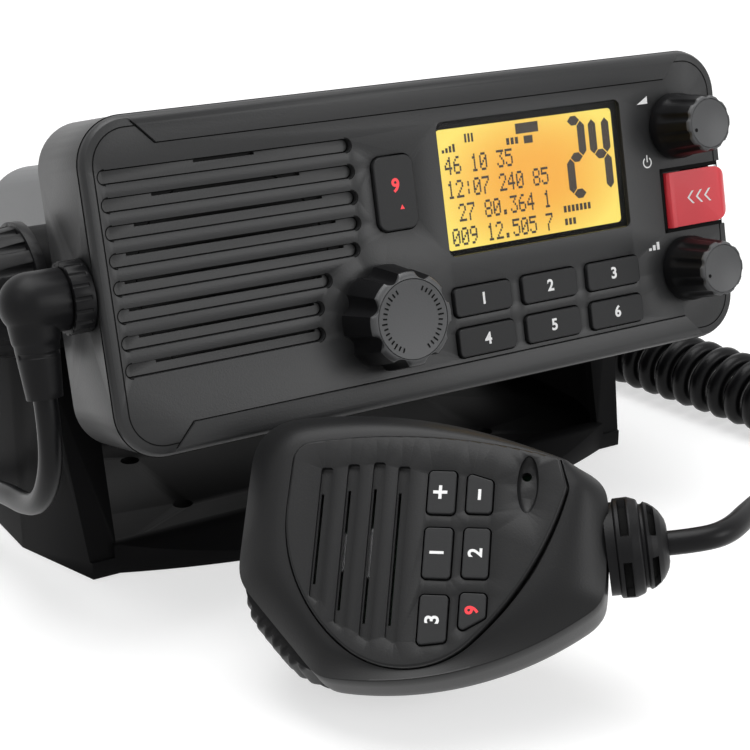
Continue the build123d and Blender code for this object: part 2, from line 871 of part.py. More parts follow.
def make_distress_cover():
    low = cover_z - cover_height / 2
    high = cover_z + cover_height / 2
    outer = Rectangle(cover_right - cover_left, cover_side_end + cover_proud)
    outer = Pos(cover_x, (cover_side_end - cover_proud) / 2) * outer
    corner = outer.vertices().sort_by(Axis.X)[-2:].sort_by(Axis.Y)[0]
    outer = fillet(corner, cover_corner)
    inner = Rectangle(cover_right - cover_left, cover_side_end + cover_proud)
    inner = Pos(cover_x - cover_wall, (cover_side_end - cover_proud) / 2 + cover_wall) * inner
    inner_corner = inner.vertices().sort_by(Axis.X)[-2:].sort_by(Axis.Y)[0]
    inner = fillet(inner_corner, cover_corner - cover_wall)
    profile = outer - inner
    cover = Pos(0, 0, low) * extrude(profile, cover_height)
    lip = Pos(0, 0, low) * extrude(
        outline_of(
            [
                (cover_left, -cover_proud),
                (cover_left + 1.6, -cover_proud),
                (cover_left + 1.6, -cover_proud - 0.5),
                (cover_left + 0.4, -cover_proud - 0.5),
            ]
        ),
        cover_height,
    )
    cover += lip
    lug = Circle(lug_radius) + Pos(0.6, -1.6) * Rectangle(4.4, 2 * pin_depth - 3.2)
    lug += Pos(lug_radius / 2 + 0.4, 0) * Rectangle(lug_radius + 1.2, 2 * lug_radius)
    lug -= Circle(pin_radius + pin_clearance)
    for start in (low, high - lug_thickness):
        cover += Pos(pin_x, pin_depth, start) * extrude(lug, lug_thickness)
    bore = Cylinder(pin_radius + pin_clearance, 2 * cover_height)
    return cover - Pos(pin_x, pin_depth, cover_z) * bore


def make_distress_pin():
    length = pocket_top - pocket_bottom + pocket_wall
    return Pos(pin_x, pin_depth, cover_z) * Cylinder(pin_radius, length)


def make_distress_spring():
    length = cover_height - 2 * lug_thickness - 2 * moving_gap
    coil = Cylinder(spring_radius, length) - Cylinder(pin_radius + spring_clearance, length)
    return Pos(pin_x, pin_depth, cover_z) * coil


def make_distress_button():
    cap = RectangleRounded(button_width, button_height, 1.2)
    cap_end = pocket_depth - button_travel - moving_gap
    button = upright(cap, button_top, cap_end, button_x, cover_z)
    stem_end = pocket_depth + pocket_wall + moving_gap
    return button + upright(Circle(button_stem_radius), cap_end, stem_end, button_x, cover_z)


def bracket_plan():
    """Outer outline of the bracket seen from above, without its bowed apron."""
    half = [
        (bracket_front_half, bracket_front),
        (bracket_side_half, bracket_fold_y),
        (bracket_side_half, bracket_rear),
    ]
    return outline_of(half + [(-x, y) for x, y in reversed(half)])


def arm_side():
    """Outline of one arm seen from the side, with the round head about the pivot."""
    tilt = math.atan2(bracket_rear - pivot_y, pivot_z)
    reach = math.hypot(bracket_rear - pivot_y, pivot_z)
    swing = math.asin(head_radius / reach)
    tangent = (
        pivot_y + head_radius * math.cos(tilt - swing),
        pivot_z + head_radius * math.sin(tilt - swing),
    )
    flank = outline_of([(bracket_front, 0), (bracket_rear, 0), tangent, (pivot_y, pivot_z)])
    return flank + Pos(pivot_y, pivot_z) * Circle(head_radius)


def make_bracket():
    tall = pivot_z + head_radius + 1
    sides = arm_side()
    inner_sides = offset(sides, -arm_wall, kind=Kind.INTERSECTION)
    block = extrude(bracket_plan(), tall) & crosswise(sides, -bracket_side_half, bracket_side_half)
    hollow = extrude(offset(bracket_plan(), -arm_wall, kind=Kind.INTERSECTION), tall)
    hollow &= crosswise(inner_sides, -bracket_side_half, bracket_side_half)
    core = span_box(-arm_inner, arm_inner, 2 * bracket_front, 2 * bracket_rear, -1, tall + 1)
    arms = block - hollow - core
    bracket = arms + extrude(bracket_plan(), base_thickness)
    boss = crosswise(Circle(head_radius + 3.5), head_outer - head_wall, head_outer, pivot_y, pivot_z)
    boss &= crosswise(sides, 0, bracket_side_half)
    spot = crosswise(Circle(knob_radius + 1.0), head_outer, bracket_side_half + 1, pivot_y, pivot_z)
    hole = crosswise(Circle(stud_radius + arm_hole_gap), arm_inner, bracket_side_half + 1, pivot_y, pivot_z)
    recess = crosswise(Circle(washer_radius + 1.2), arm_inner, head_outer - head_wall, pivot_y, pivot_z)
    for side in (-1, 1):
        bracket += boss if side > 0 else mirror(boss, about=Plane.YZ)
        bracket -= recess if side > 0 else mirror(recess, about=Plane.YZ)
        bracket -= spot if side > 0 else mirror(spot, about=Plane.YZ)
        bracket -= hole if side > 0 else mirror(hole, about=Plane.YZ)
    bracket += span_box(
        -arm_inner - 1, arm_inner + 1, bracket_front, bracket_front + lip_wall, base_thickness / 2, base_lip
    )
    bracket += span_box(
        -arm_inner - 1, arm_inner + 1, bracket_rear - lip_wall, bracket_rear, base_thickness / 2, base_lip
    )
    apron_half = arm_inner
    floor_edge = Line((-apron_half, bracket_front + 1), (apron_half, bracket_front + 1))
    bow = ThreePointArc(
        (-apron_half, bracket_front), (0, bracket_front - apron_bow), (apron_half, bracket_front)
    )
    ends = [
        Line((-apron_half, bracket_front), (-apron_half, bracket_front + 1)),
        Line((apron_half, bracket_front), (apron_half, bracket_front + 1)),
    ]
    foot = make_face(Curve() + [floor_edge, bow] + ends)
    slope = extrude(foot, base_lip)
    lean_back = math.degrees(math.atan2(base_lip, apron_bow))
    shear_cut = Pos(0, bracket_front - apron_bow, 0) * Rot(lean_back, 0, 0) * Pos(0, 0, tall / 2)
    slope -= shear_cut * Box(4 * apron_half, 4 * tall, tall)
    bracket += slope
    drill = Cylinder(base_hole_radius, 4 * base_thickness)
    for x in (-base_hole_half_x, base_hole_half_x):
        for y in (-base_hole_half_y, base_hole_half_y):
            bracket -= Pos(x, y, 0) * drill
    return bracket - make_base_pads()


def make_base_pads():
    """Four square-cut rubber pads let into the underside of the base, flush with it."""
    pads = []
    for x, y in ((bracket_front_half, bracket_front + pad_inset), (bracket_side_half, bracket_rear - pad_inset)):
        for side in (-1, 1):
            place = Pos(side * (x - pad_inset), y, pad_thickness / 2)
            pads.append(place * Box(pad_width, pad_length, pad_thickness))
    return Part() + pads


def handset_plane():
    """The microphone's own frame: x towards its cord, y across its face, z out of its face."""
    heading = math.radians(handset_heading)
    roll = math.radians(handset_roll)
    tilt = math.radians(handset_lean)
    along = Vector(math.cos(heading) * math.cos(roll), math.sin(heading) * math.cos(roll), math.sin(roll))
    level = Vector(-math.sin(heading), math.cos(heading), 0)
    across = level * math.cos(tilt) + along.cross(level) * math.sin(tilt)
    return Plane(origin=(handset_x, handset_y, handset_z), x_dir=along, z_dir=along.cross(across))


def on_hand(x, y):
    """A point on the microphone's face, moved out with the casing's length."""
    return (x * hand_scale, y * hand_scale)


def handset_outline():
    """Outline of the microphone's casing at its seam."""
    lower = ThreePointArc(on_hand(-20.5, -22.9), on_hand(6.1, -20.6), on_hand(29.0, -8.9))
    end = ThreePointArc(on_hand(29.0, -8.9), on_hand(31.2, -7.0), on_hand(31.9, -4.2))
    neck = Line(on_hand(31.9, -4.2), on_hand(31.9, 12.6))
    shoulder = ThreePointArc(on_hand(31.9, 12.6), on_hand(31.0, 15.6), on_hand(29.0, 17.4))
    top = ThreePointArc(on_hand(29.0, 17.4), on_hand(0.8, 27.3), on_hand(-29.0, 27.8))
    bend = ThreePointArc(on_hand(-29.0, 27.8), on_hand(-35.3, 24.8), on_hand(-37.4, 18.5))
    left = Line(on_hand(-37.4, 18.5), on_hand(-37.6, -2.5))
    turn = ThreePointArc(on_hand(-37.6, -2.5), on_hand(-37.1, -5.0), on_hand(-35.8, -7.0))
    slope = Line(on_hand(-35.8, -7.0), on_hand(-20.5, -22.9))
    return make_face(Curve() + [lower, end, neck, shoulder, top, bend, left, turn, slope])


def plate_outline():
    """Outline of the separate face plate that carries the keys and the sound grooves."""
    lower_left = ThreePointArc(on_hand(-27.9, 8.0), on_hand(-24.0, -7.8), on_hand(-14.6, -18.6))
    lower = TangentArc(lower_left @ 1, on_hand(8.5, -16.6), tangent=lower_left % 1)
    lower_right = TangentArc(lower @ 1, on_hand(24.6, 13.0), tangent=lower % 1)
    right = Line(on_hand(24.6, 13.0), on_hand(23.0, 18.6))
    top = ThreePointArc(on_hand(23.0, 18.6), on_hand(-2.0, 22.4), on_hand(-24.2, 20.9))
    corner = ThreePointArc(on_hand(-24.2, 20.9), on_hand(-26.7, 19.7), on_hand(-27.7, 17.2))
    left = Line(on_hand(-27.7, 17.2), on_hand(-27.9, 8.0))
    return make_face(Curve() + [lower_left, lower, lower_right, right, top, corner, left])


def hand_keys():
    """Names and outlines of the microphone's six keys."""
    left_low, left_high = -1.1, 4.1
    right_low, right_high = 6.2, 11.0
    keys = [
        ("hand_key_up", [(left_low, 6.9), (left_high, 6.9), (left_high, 15.3), (left_low, 15.3)]),
        ("hand_key_down", [(right_low, 7.2), (right_high, 7.2), (right_high, 13.6), (right_low, 15.0)]),
        ("hand_key_middle", [(left_low, -5.5), (left_high, -5.5), (left_high, 4.2), (left_low, 4.2)]),
        ("hand_key_scan", [(right_low, -5.2), (right_high, -5.2), (right_high, 4.3), (right_low, 4.3)]),
        ("hand_key_power", [(left_low, -18.0), (left_high, -17.2), (left_high, -8.6), (left_low, -8.6)]),
        ("hand_key_channel", [(right_low, -15.4), (right_high, -12.4), (right_high, -8.0), (right_low, -8.0)]),
    ]
    return [(name, [on_hand(x, y) for x, y in points]) for name, points in keys]


def rounded(points, radius):
    """A polygon with every corner rounded."""
    face = outline_of(points)
    return fillet(face.vertices(), radius)


def hand_screw_places():
    return [on_hand(-32.0, 19.0), on_hand(-31.0, 2.5), on_hand(27.3, 8.5), on_hand(22.2, -6.5)]


def slab(outline, low, high):
    """A sketch on the microphone's face thickened between two heights, 0 being the face."""
    return Pos(0, 0, low) * extrude(outline, high - low)


def make_handset_front():
    rim = -front_rim_depth
    body = slab(handset_outline(), -seam_depth, rim - rim_slope)
    slope = extrude(offset(handset_outline(), -step_ledge), rim_slope, taper=45)
    body += Pos(0, 0, rim - rim_slope) * slope
    ledge = slab(offset(plate_outline(), plate_ledge), -seam_depth, rim + 0.5)
    body += ledge & slab(handset_outline(), -seam_depth, 1)
    body -= slab(offset(plate_outline(), plate_gap), -plate_thickness - fit_gap, 1)
    body -= slab(offset(plate_outline(), -plate_ledge), -seam_depth - 1, 0)
    for x, y in hand_screw_places():
        pilot = Pos(x, y) * Circle(hand_screw_radius + screw_clearance)
        body -= slab(pilot, -seam_depth - 1, -hand_screw_tip + 0.5)
    return body - boot_hole


def make_handset_face():
    plate = slab(plate_outline(), -plate_thickness, 0)
    plate = fillet(plate.faces().sort_by(Axis.Z)[-1].edges(), 0.5)
    ends = [(-19.6, -11.0, 15.6), (-14.5, -15.8, 16.4), (-9.6, -18.1, 16.9), (-4.8, -18.3, 16.2)]
    for end in ends:
        right, low, high = (hand_scale * value for value in end)
        groove = rounded(
            [(right - groove_width, low + 1.5), (right, low), (right, high), (right - groove_width, high)], 0.6
        )
        plate -= slab(groove, -groove_depth, 1)
        slit_x = right - groove_width + groove_slit / 2 + 0.3
        plate -= span_box(
            slit_x - groove_slit / 2, slit_x + groove_slit / 2, low + 4, high - 5, -plate_thickness - 1, 0
        )
    for _, points in hand_keys():
        hole = offset(rounded(points, 0.8), hand_key_gap)
        plate -= slab(hole, -plate_thickness - 1, 1)
    eye = Pos(*on_hand(17.4, 13.2))
    hollow = eye * Pos(0, 0, 0.4) * scale(Sphere(2.6), by=(0.9, 2.3, 1))
    plate -= slab(eye * Ellipse(2.0, 5.6), -recess_depth, 1) & hollow
    plate -= slab(eye * Pos(-0.4, 2.0) * Circle(0.9), -plate_thickness - 1, 1)
    return plate


def make_hand_key(points):
    outline = rounded(points, 0.8)
    key = slab(outline, -plate_thickness - moving_gap, hand_key_proud)
    key = fillet(key.faces().sort_by(Axis.Z)[-1].edges(), 0.25)
    top = -plate_thickness - moving_gap
    return key + slab(offset(outline, hand_key_rim), top - hand_key_flange, top)


def make_handset_rear():
    body = slab(handset_outline(), -rear_steps[0][0], -seam_depth)
    inset = step_ledge
    for (start, taper), (end, _) in zip(rear_steps, rear_steps[1:]):
        body += Pos(0, 0, -start) * extrude(offset(handset_outline(), -inset), start - end, taper=taper)
        inset += (end - start) * math.tan(math.radians(taper)) + step_ledge
    body -= slab(offset(handset_outline(), -handset_wall), -rear_steps[0][0] - 1, -seam_depth)
    body -= slab(offset(handset_outline(), -3 * handset_wall), -rear_steps[1][0] - 1, -seam_depth)
    for x, y in hand_screw_places():
        post = slab(Pos(x, y) * Circle(hand_boss_radius), -rear_depth, -seam_depth)
        body += post & slab(handset_outline(), -rear_depth, -seam_depth)
        body -= slab(Pos(x, y) * Circle(hand_screw_radius + screw_clearance), -rear_depth, 0)
        body -= slab(Pos(x, y) * Circle(hand_screw_well), -2 * rear_depth, -hand_head_depth)
    seat = Pos(0, stud_across) * Circle(stud_flange_radius + fit_gap)
    body -= slab(seat, -2 * rear_depth, -stud_seat_depth)
    return body - ptt_block() - boot_hole


def ptt_frame():
    """Frame of the talk bar: x along the slanted edge, y out of the casing."""
    start = Vector(*on_hand(-35.8, -7.0))
    end = Vector(*on_hand(-20.5, -22.9))
    along = (end - start).normalized()
    return Plane(origin=(start + end) / 2, x_dir=along, z_dir=(0, 0, 1))


def ptt_block():
    """The opening for the talk bar, with a gap all round and room for its travel."""
    block = span_box(
        -ptt_length / 2 - ptt_gap,
        ptt_length / 2 + ptt_gap,
        -2 * ptt_proud,
        ptt_inside + ptt_travel + ptt_gap,
        -ptt_bottom - ptt_gap,
        -ptt_top + ptt_gap,
    )
    return ptt_frame().location * block


def make_ptt_button():
    bar = span_box(-ptt_length / 2, ptt_length / 2, -ptt_proud, ptt_inside, -ptt_bottom, -ptt_top)
    outer = bar.faces().sort_by(Axis.Y)[0].edges()
    bar = fillet(outer, 0.8)
    for rib in range(ptt_ribs):
        x = (rib - (ptt_ribs - 1) / 2) * (ptt_length - 4) / (ptt_ribs - 1)
        rod = Cylinder(rib_size / 2, ptt_bottom - ptt_top - 3)
        bar += Pos(x, -ptt_proud, -(ptt_top + ptt_bottom) / 2) * rod
    return ptt_frame().location * bar


def make_hand_board():
    outline = offset(plate_outline(), -plate_ledge - 1)
    board = slab(outline, -hand_board_depth - hand_board_thickness, -hand_board_depth)
    return board


def make_mic_capsule():
    top = -plate_thickness - moving_gap
    return slab(Pos(*on_hand(-13, 0)) * Circle(capsule_radius), top - capsule_thickness, top)


def make_handset_screws():
    screws = []
    for x, y in hand_screw_places():
        spot = Pos(x, y)
        screw = slab(spot * Circle(hand_screw_radius), -hand_head_depth, -hand_screw_tip)
        head = slab(spot * Circle(hand_screw_head), -hand_head_depth - hand_head_height, -hand_head_depth)
        cross = slab(spot * RegularPolygon(0.9, 6), -hand_head_depth - 2, -hand_head_depth - 0.7)
        screws.append(screw + head - cross)
    return Part() + screws


def make_hangup_stud():
    spot = Pos(0, stud_across)
    stud = slab(spot * Circle(stud_flange_radius), -stud_seat_depth - stud_flange, -stud_seat_depth)
    stud += slab(spot * Circle(stud_neck_radius), -stud_end_depth, -stud_seat_depth)
    head = slab(spot * Circle(stud_head_radius), -stud_end_depth, -stud_end_depth + stud_head)
    head = chamfer(head.edges().filter_by(GeomType.CIRCLE), 0.5)
    return stud + head


def make_strain_relief():
    end = boot_length
    profile = outline_of(
        [
            (0, 0),
            (0, boot_root_radius),
            (2.8, boot_root_radius + 0.2),
            (4.5, boot_root_radius - 0.7),
            (4.7, boot_root_radius - 3.4),
            (5.7, boot_root_radius - 3.4),
            (5.9, boot_root_radius - 1.2),
            (7.6, boot_root_radius - 2.2),
            (9.0, boot_end_radius + 1.6),
            (end, boot_end_radius),
            (end, 0),
        ]
    )
    boot = revolve(profile, Axis.X)
    for ring_x, outer in ((2.2, boot_root_radius + 0.2), (7.4, boot_root_radius - 2.2)):
        ring = crosswise(Circle(outer + 1) - Circle(outer - 1.7), -boot_slot / 2, boot_slot / 2)
        ring -= Box(4, 4, 4 * boot_root_radius) + Box(4, 4 * boot_root_radius, 4)
        boot -= Pos(ring_x, 0, 0) * ring
    collar = boot_place * crosswise(Circle(boot_collar_radius), -boot_stub, 0)
    reach = handset_length
    collar -= span_box(-reach, casing_end + boot_gap, -reach, reach, -reach, reach)
    return boot_place * (boot + crosswise(Circle(boot_stub_radius), -boot_stub, 0)) + collar


def tube(points, diameter):
    """A round tube on straight runs joined by arcs as large as the runs allow, and those arcs' radii."""
    places = [Vector(*point) for point in points]
    radii = []
    for before, here, after in zip(places, places[1:], places[2:]):
        run_in = here - before
        run_out = after - here
        half_turn = math.radians(run_in.get_angle(run_out)) / 2
        radii.append(0.45 * min(run_in.length, run_out.length) / math.tan(half_turn))
    path = FilletPolyline(*places, radius=radii)
    section = Plane(origin=path @ 0, z_dir=path % 0) * Circle(diameter / 2)
    return sweep(section, path=path), radii


def plug_exit(drop):
    """A point on the plug's neck line, a given drop below the neck's lower face."""
    place = Pos(-panel_width / 2 - elbow_reach, plug_depth, plug_z - neck_drop - drop)
    return tuple((radio_place * place).position)


def boot_exit(run):
    """A point on the boot's axis, a given run beyond its end."""
    return tuple((handset_plane().location * boot_place * Pos(boot_length + run, 0, 0)).position)


def in_radio(shape):
    return radio_place * shape


def in_handset(shape):
    return handset_plane().location * shape


parts = {"bracket": make_bracket(), "base_pads": make_base_pads()}
for side, side_name in ((-1, "left"), (1, "right")):
    parts[f"washer_{side_name}"] = in_radio(make_washer(side))
    parts[f"knob_{side_name}"] = in_radio(make_gimbal_knob(side))

parts["front_bezel"] = in_radio(make_front_bezel())
parts["face_gasket"] = in_radio(make_face_gasket())
parts["rear_chassis"] = in_radio(make_rear_chassis())
parts["case_screws"] = in_radio(make_case_screws())
parts["speaker_frame"] = in_radio(make_speaker_frame())
parts["speaker_cone"] = in_radio(make_speaker_cone())
parts["front_board"] = in_radio(make_front_board())
parts["main_board"] = in_radio(make_main_board())
parts["display_window"] = in_radio(make_display_window())
parts["lcd_glass"] = in_radio(make_lcd_glass())
parts["lcd_backlight"] = in_radio(make_lcd_backlight())
parts["keypad_mat"] = in_radio(make_keypad_mat())
for name, x, z in key_places():
    parts[name] = in_radio(make_key(key_width, key_height, key_corner, x, z))
parts["key_channel"] = in_radio(
    make_key(channel_key_width, channel_key_height, channel_key_corner, channel_key_x, channel_key_z)
)
parts["select_encoder"] = in_radio(make_rotary_body(Rectangle(encoder_size, encoder_size), select_x, select_z))
parts["volume_pot"] = in_radio(make_rotary_body(Circle(pot_radius), small_x, volume_z))
parts["squelch_pot"] = in_radio(make_rotary_body(Circle(pot_radius), small_x, squelch_z))
parts["select_switch"] = in_radio(make_select_switch())
parts["select_knob"] = in_radio(make_select_knob())
parts["volume_knob"] = in_radio(make_small_knob(volume_z))
parts["squelch_knob"] = in_radio(make_small_knob(squelch_z))
parts["distress_cover"] = in_radio(make_distress_cover())
parts["distress_pin"] = in_radio(make_distress_pin())
parts["distress_spring"] = in_radio(make_distress_spring())
parts["distress_button"] = in_radio(make_distress_button())
parts["mic_socket"] = in_radio(make_mic_socket())
parts["mic_plug"] = in_radio(make_mic_plug())
parts["mic_plug_ring"] = in_radio(make_mic_plug_ring())
parts["antenna_socket"] = in_radio(make_antenna_socket())
parts["power_gland"] = in_radio(make_power_gland())

parts["handset_front"] = in_handset(make_handset_front())
parts["handset_face"] = in_handset(make_handset_face())
parts["handset_rear"] = in_handset(make_handset_rear())
parts["ptt_button"] = in_handset(make_ptt_button())
for name, points in hand_keys():
    parts[name] = in_handset(make_hand_key(points))
parts["handset_board"] = in_handset(make_hand_board())
parts["mic_capsule"] = in_handset(make_mic_capsule())
parts["handset_screws"] = in_handset(make_handset_screws())
parts["hangup_stud"] = in_handset(make_hangup_stud())
parts["handset_strain_relief"] = in_handset(make_strain_relief())

cord_routes = (
    ("cord_plug_tail", [plug_exit(0), plug_exit(plug_run_out)] + plug_tail, cord_diameter),
    ("cord_curl", curl_axis, curl_diameter),
    ("cord_handset_tail", handset_tail + [boot_exit(handset_run_out), boot_exit(0)], cord_diameter),
)
for name, route, diameter in cord_routes:
    parts[name], bends = tube(route, diameter)
    print(name, "radii", [round(bend, 1) for bend in bends])

os.makedirs("parts", exist_ok=True)
for name, shape in parts.items():
    export_step(shape, f"parts/{name}.step")
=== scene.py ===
import json
import math

import bmesh
import bpy
from mathutils import Matrix, Vector

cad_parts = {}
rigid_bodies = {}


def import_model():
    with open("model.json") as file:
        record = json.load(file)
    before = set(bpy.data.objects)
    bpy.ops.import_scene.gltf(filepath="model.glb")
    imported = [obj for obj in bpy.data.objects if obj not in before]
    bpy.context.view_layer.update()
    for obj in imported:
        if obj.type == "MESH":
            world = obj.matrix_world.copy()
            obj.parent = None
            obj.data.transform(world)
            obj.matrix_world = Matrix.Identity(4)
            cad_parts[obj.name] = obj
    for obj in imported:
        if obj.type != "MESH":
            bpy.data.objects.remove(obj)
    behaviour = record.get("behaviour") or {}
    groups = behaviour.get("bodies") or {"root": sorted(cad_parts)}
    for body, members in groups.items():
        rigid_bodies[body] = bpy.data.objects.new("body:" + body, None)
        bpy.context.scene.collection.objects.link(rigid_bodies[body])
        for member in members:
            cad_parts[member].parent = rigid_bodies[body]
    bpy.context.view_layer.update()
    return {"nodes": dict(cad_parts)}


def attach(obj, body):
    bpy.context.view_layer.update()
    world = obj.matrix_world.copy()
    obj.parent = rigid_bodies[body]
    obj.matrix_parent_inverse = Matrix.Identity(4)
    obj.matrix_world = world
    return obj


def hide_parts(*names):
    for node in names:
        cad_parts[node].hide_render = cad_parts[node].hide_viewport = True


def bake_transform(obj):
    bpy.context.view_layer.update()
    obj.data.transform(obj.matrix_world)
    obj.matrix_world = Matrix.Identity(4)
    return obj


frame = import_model()

# ------------------------
# Camera: in front of the radio's left end and a little above it, close enough that the curly
# cord runs out of the frame on the right.
camera_data = bpy.data.cameras.new("camera")
camera_data.lens = 81.26
camera_data.sensor_width = 36.0
camera = bpy.data.objects.new("camera", camera_data)
camera.location = (-0.19904, -0.355, 0.17332)
camera.rotation_euler = (math.radians(69.779), 0, math.radians(-31.6425))
scene_pieces = bpy.context.scene.collection.objects
scene_pieces.link(camera)
bpy.context.scene.camera = camera

# ------------------------
# The cord: one round rubber-jacketed cord from the plug to the microphone. A straight tail drops
# from the plug and runs behind the radio, the middle is set in tight curls, and a second straight
# tail rises into the microphone's rubber boot.
MM = 0.001
CORD_DIAMETER = 4.8
CURL_DIAMETER = 19.5
CURL_LIFT = CURL_DIAMETER / 2
CURL_PITCH = 6.1
CURL_STEPS = 14

# The radio leans back on its pivots; its own x runs across, y back from the face and z up.
LEAN = math.radians(13.42)
PIVOT = Vector((0, -19.3, 64.5))
PIVOT_IN_RADIO = Vector((0, 43.0, 34.0))
RADIO = (
    Matrix.Scale(MM, 4)
    @ Matrix.Translation(PIVOT)
    @ Matrix.Rotation(-LEAN, 4, "X")
    @ Matrix.Translation(-PIVOT_IN_RADIO)
)

# The microphone is tipped on its edge; its own x runs to the cord, y across and z out of the face.
heading, tip, roll = math.radians(-42), math.radians(47), math.radians(3)
along = Vector((math.cos(heading) * math.cos(roll), math.sin(heading) * math.cos(roll), math.sin(roll)))
level = Vector((-math.sin(heading), math.cos(heading), 0))
across = level * math.cos(tip) + along.cross(level) * math.sin(tip)
turned = Matrix((along, across, along.cross(across))).transposed().to_4x4()
HANDSET_PLACE = Vector((-43.0, -121.0, 35.5))
HANDSET = Matrix.Scale(MM, 4) @ Matrix.Translation(HANDSET_PLACE) @ turned

PLUG_NECK = Vector((-91.7, 8.0, 15.4))
BOOT_START = Vector((33.4, 5.8, -14.0))
BOOT_TURN = math.radians(8)
BOOT_LENGTH = 9.6
BOOT = Matrix.Translation(BOOT_START) @ Matrix.Rotation(BOOT_TURN, 4, "Z")

# The cord runs straight for this far out of the plug and out of the boot.
PLUG_STRAIGHT, BOOT_STRAIGHT = 10.0, 6.5
plug_exit = RADIO @ PLUG_NECK
plug_below = RADIO @ (PLUG_NECK - Vector((0, 0, PLUG_STRAIGHT)))
boot_exit = HANDSET @ BOOT @ Vector((BOOT_LENGTH, 0, 0))
boot_beyond = HANDSET @ BOOT @ Vector((BOOT_LENGTH + BOOT_STRAIGHT, 0, 0))

plug_tail_route = [
    (-91.6, -54.2, 32.5),
    (-91.3, -43.5, 25.4),
    (-91.0, -25.0, 22.0),
    (-91.4, -4.0, 15.5),
    (-91.8, 17.0, 7.0),
    (-89.5, 36.0, 2.6),
    (-78.0, 52.0, 2.6),
    (-60.0, 57.5, 2.6),
    (-41.0, 53.5, 5.0),
    (-22.9, 54.0, CURL_LIFT),
    (-6.0, 56.0, CURL_LIFT),
]
curl_route = [
    (-6.0, 56.0, CURL_LIFT),
    (28.0, 60.0, CURL_LIFT),
    (62.0, 59.0, CURL_LIFT),
    (92.0, 45.0, CURL_LIFT),
    (106.0, 16.0, CURL_LIFT),
    (110.0, -14.0, CURL_LIFT),
    (114.3, -40.0, CURL_LIFT),
    (117.0, -66.0, CURL_LIFT),
]
handset_tail_route = [
    (117.0, -66.0, CURL_LIFT),
    (118.4, -79.5, CURL_LIFT),
    (113.0, -94.0, 5.6),
    (98.0, -103.0, 4.2),
    (77.0, -110.0, 11.5),
    (55.0, -119.2, 23.0),
    (36.0, -129.5, 32.3),
    (20.0, -138.0, 34.4),
    (10.8, -142.7, 34.7),
]


def route_curve(name, points, thickness=0.0):
    """A smooth open curve in metres that takes the route's points as its control points."""
    curve = bpy.data.curves.new(name, "CURVE")
    curve.dimensions = "3D"
    curve.resolution_u = 14
    curve.bevel_depth = thickness / 2
    curve.bevel_resolution = 5
    curve.use_fill_caps = thickness > 0
    spline = curve.splines.new("NURBS")
    spline.points.add(len(points) - 1)
    for knot, point in zip(spline.points, points):
        knot.co = (*point, 1)
    spline.order_u = 3
    spline.use_endpoint_u = True
    return bpy.data.objects.new(name, curve)


def settled(piece):
    """The piece's final mesh, as a new mesh that depends on nothing."""
    scene_pieces.link(piece)
    bpy.context.view_layer.update()
    mesh = bpy.data.meshes.new_from_object(piece.evaluated_get(bpy.context.evaluated_depsgraph_get()))
    bpy.data.objects.remove(piece)
    return mesh


def line_points(points):
    """Points close together along the smooth curve through a route."""
    return [vertex.co.copy() for vertex in settled(route_curve("line", points)).vertices]


def line_length(points):
    return sum((b - a).length for a, b in zip(points, points[1:]))


def in_metres(points):
    return [Vector(point) * MM for point in points]


def shade(mesh, angle):
    """Smooth shading with a crease wherever faces meet more sharply than the angle."""
    mesh.polygons.foreach_set("use_smooth", [True] * len(mesh.polygons))
    mesh.set_sharp_from_angle(angle=math.radians(angle))


def place_piece(name, mesh, material, body=None, angle=35):
    """Adds a mesh that is already in the room's metres as one piece, riding on one body."""
    shade(mesh, angle)
    mesh.materials.clear()
    mesh.materials.append(material)
    piece = bpy.data.objects.new(name, mesh)
    scene_pieces.link(piece)
    if body:
        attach(piece, body)
    return piece


def inputs_of(material):
    """The inputs of a material's shader."""
    return material.node_tree.nodes["Principled BSDF"].inputs


def moulded(name, colour, roughness, grain=0.0, grain_size=2600.0, shine=0.5):
    """A plain moulded finish: one colour and gloss, with a fine grain where the mould is textured."""
    material = bpy.data.materials.new(name)
    material.use_nodes = True
    inputs = inputs_of(material)
    inputs["Base Color"].default_value = (*colour, 1)
    inputs["Roughness"].default_value = roughness
    inputs["Specular IOR Level"].default_value = shine
    if grain:
        nodes, links = material.node_tree.nodes, material.node_tree.links
        place = nodes.new("ShaderNodeTexCoord")
        pits = nodes.new("ShaderNodeTexNoise")
        pits.inputs["Scale"].default_value = grain_size
        pits.inputs["Detail"].default_value = 2.0
        bump = nodes.new("ShaderNodeBump")
        bump.inputs["Strength"].default_value = grain
        bump.inputs["Distance"].default_value = 0.00006
        links.new(place.outputs["Object"], pits.inputs["Vector"])
        links.new(pits.outputs["Fac"], bump.inputs["Height"])
        links.new(bump.outputs["Normal"], inputs["Normal"])
    return material


cord_jacket = moulded("cord_jacket", (0.0035, 0.0035, 0.004), 0.34, grain=0.1, shine=0.14)


def cord_tail(name, points):
    """A straight tail of the cord, bending between the table and the body it hangs from."""
    path = line_points(points)
    tube = settled(route_curve(name, points, CORD_DIAMETER * MM))
    piece = place_piece(name, tube, cord_jacket, angle=60)
    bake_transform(piece)
    return piece, path


plug_tail_points = [plug_exit, plug_below] + in_metres(plug_tail_route)
plug_tail, plug_tail_path = cord_tail(
    "cord_from_plug", plug_tail_points
)
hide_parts("cord_plug_tail")

handset_tail_points = in_metres(handset_tail_route) + [boot_beyond, boot_exit]
handset_tail_points.reverse()
handset_tail, handset_tail_path = cord_tail(
    "cord_to_handset", handset_tail_points
)
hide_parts("cord_handset_tail")


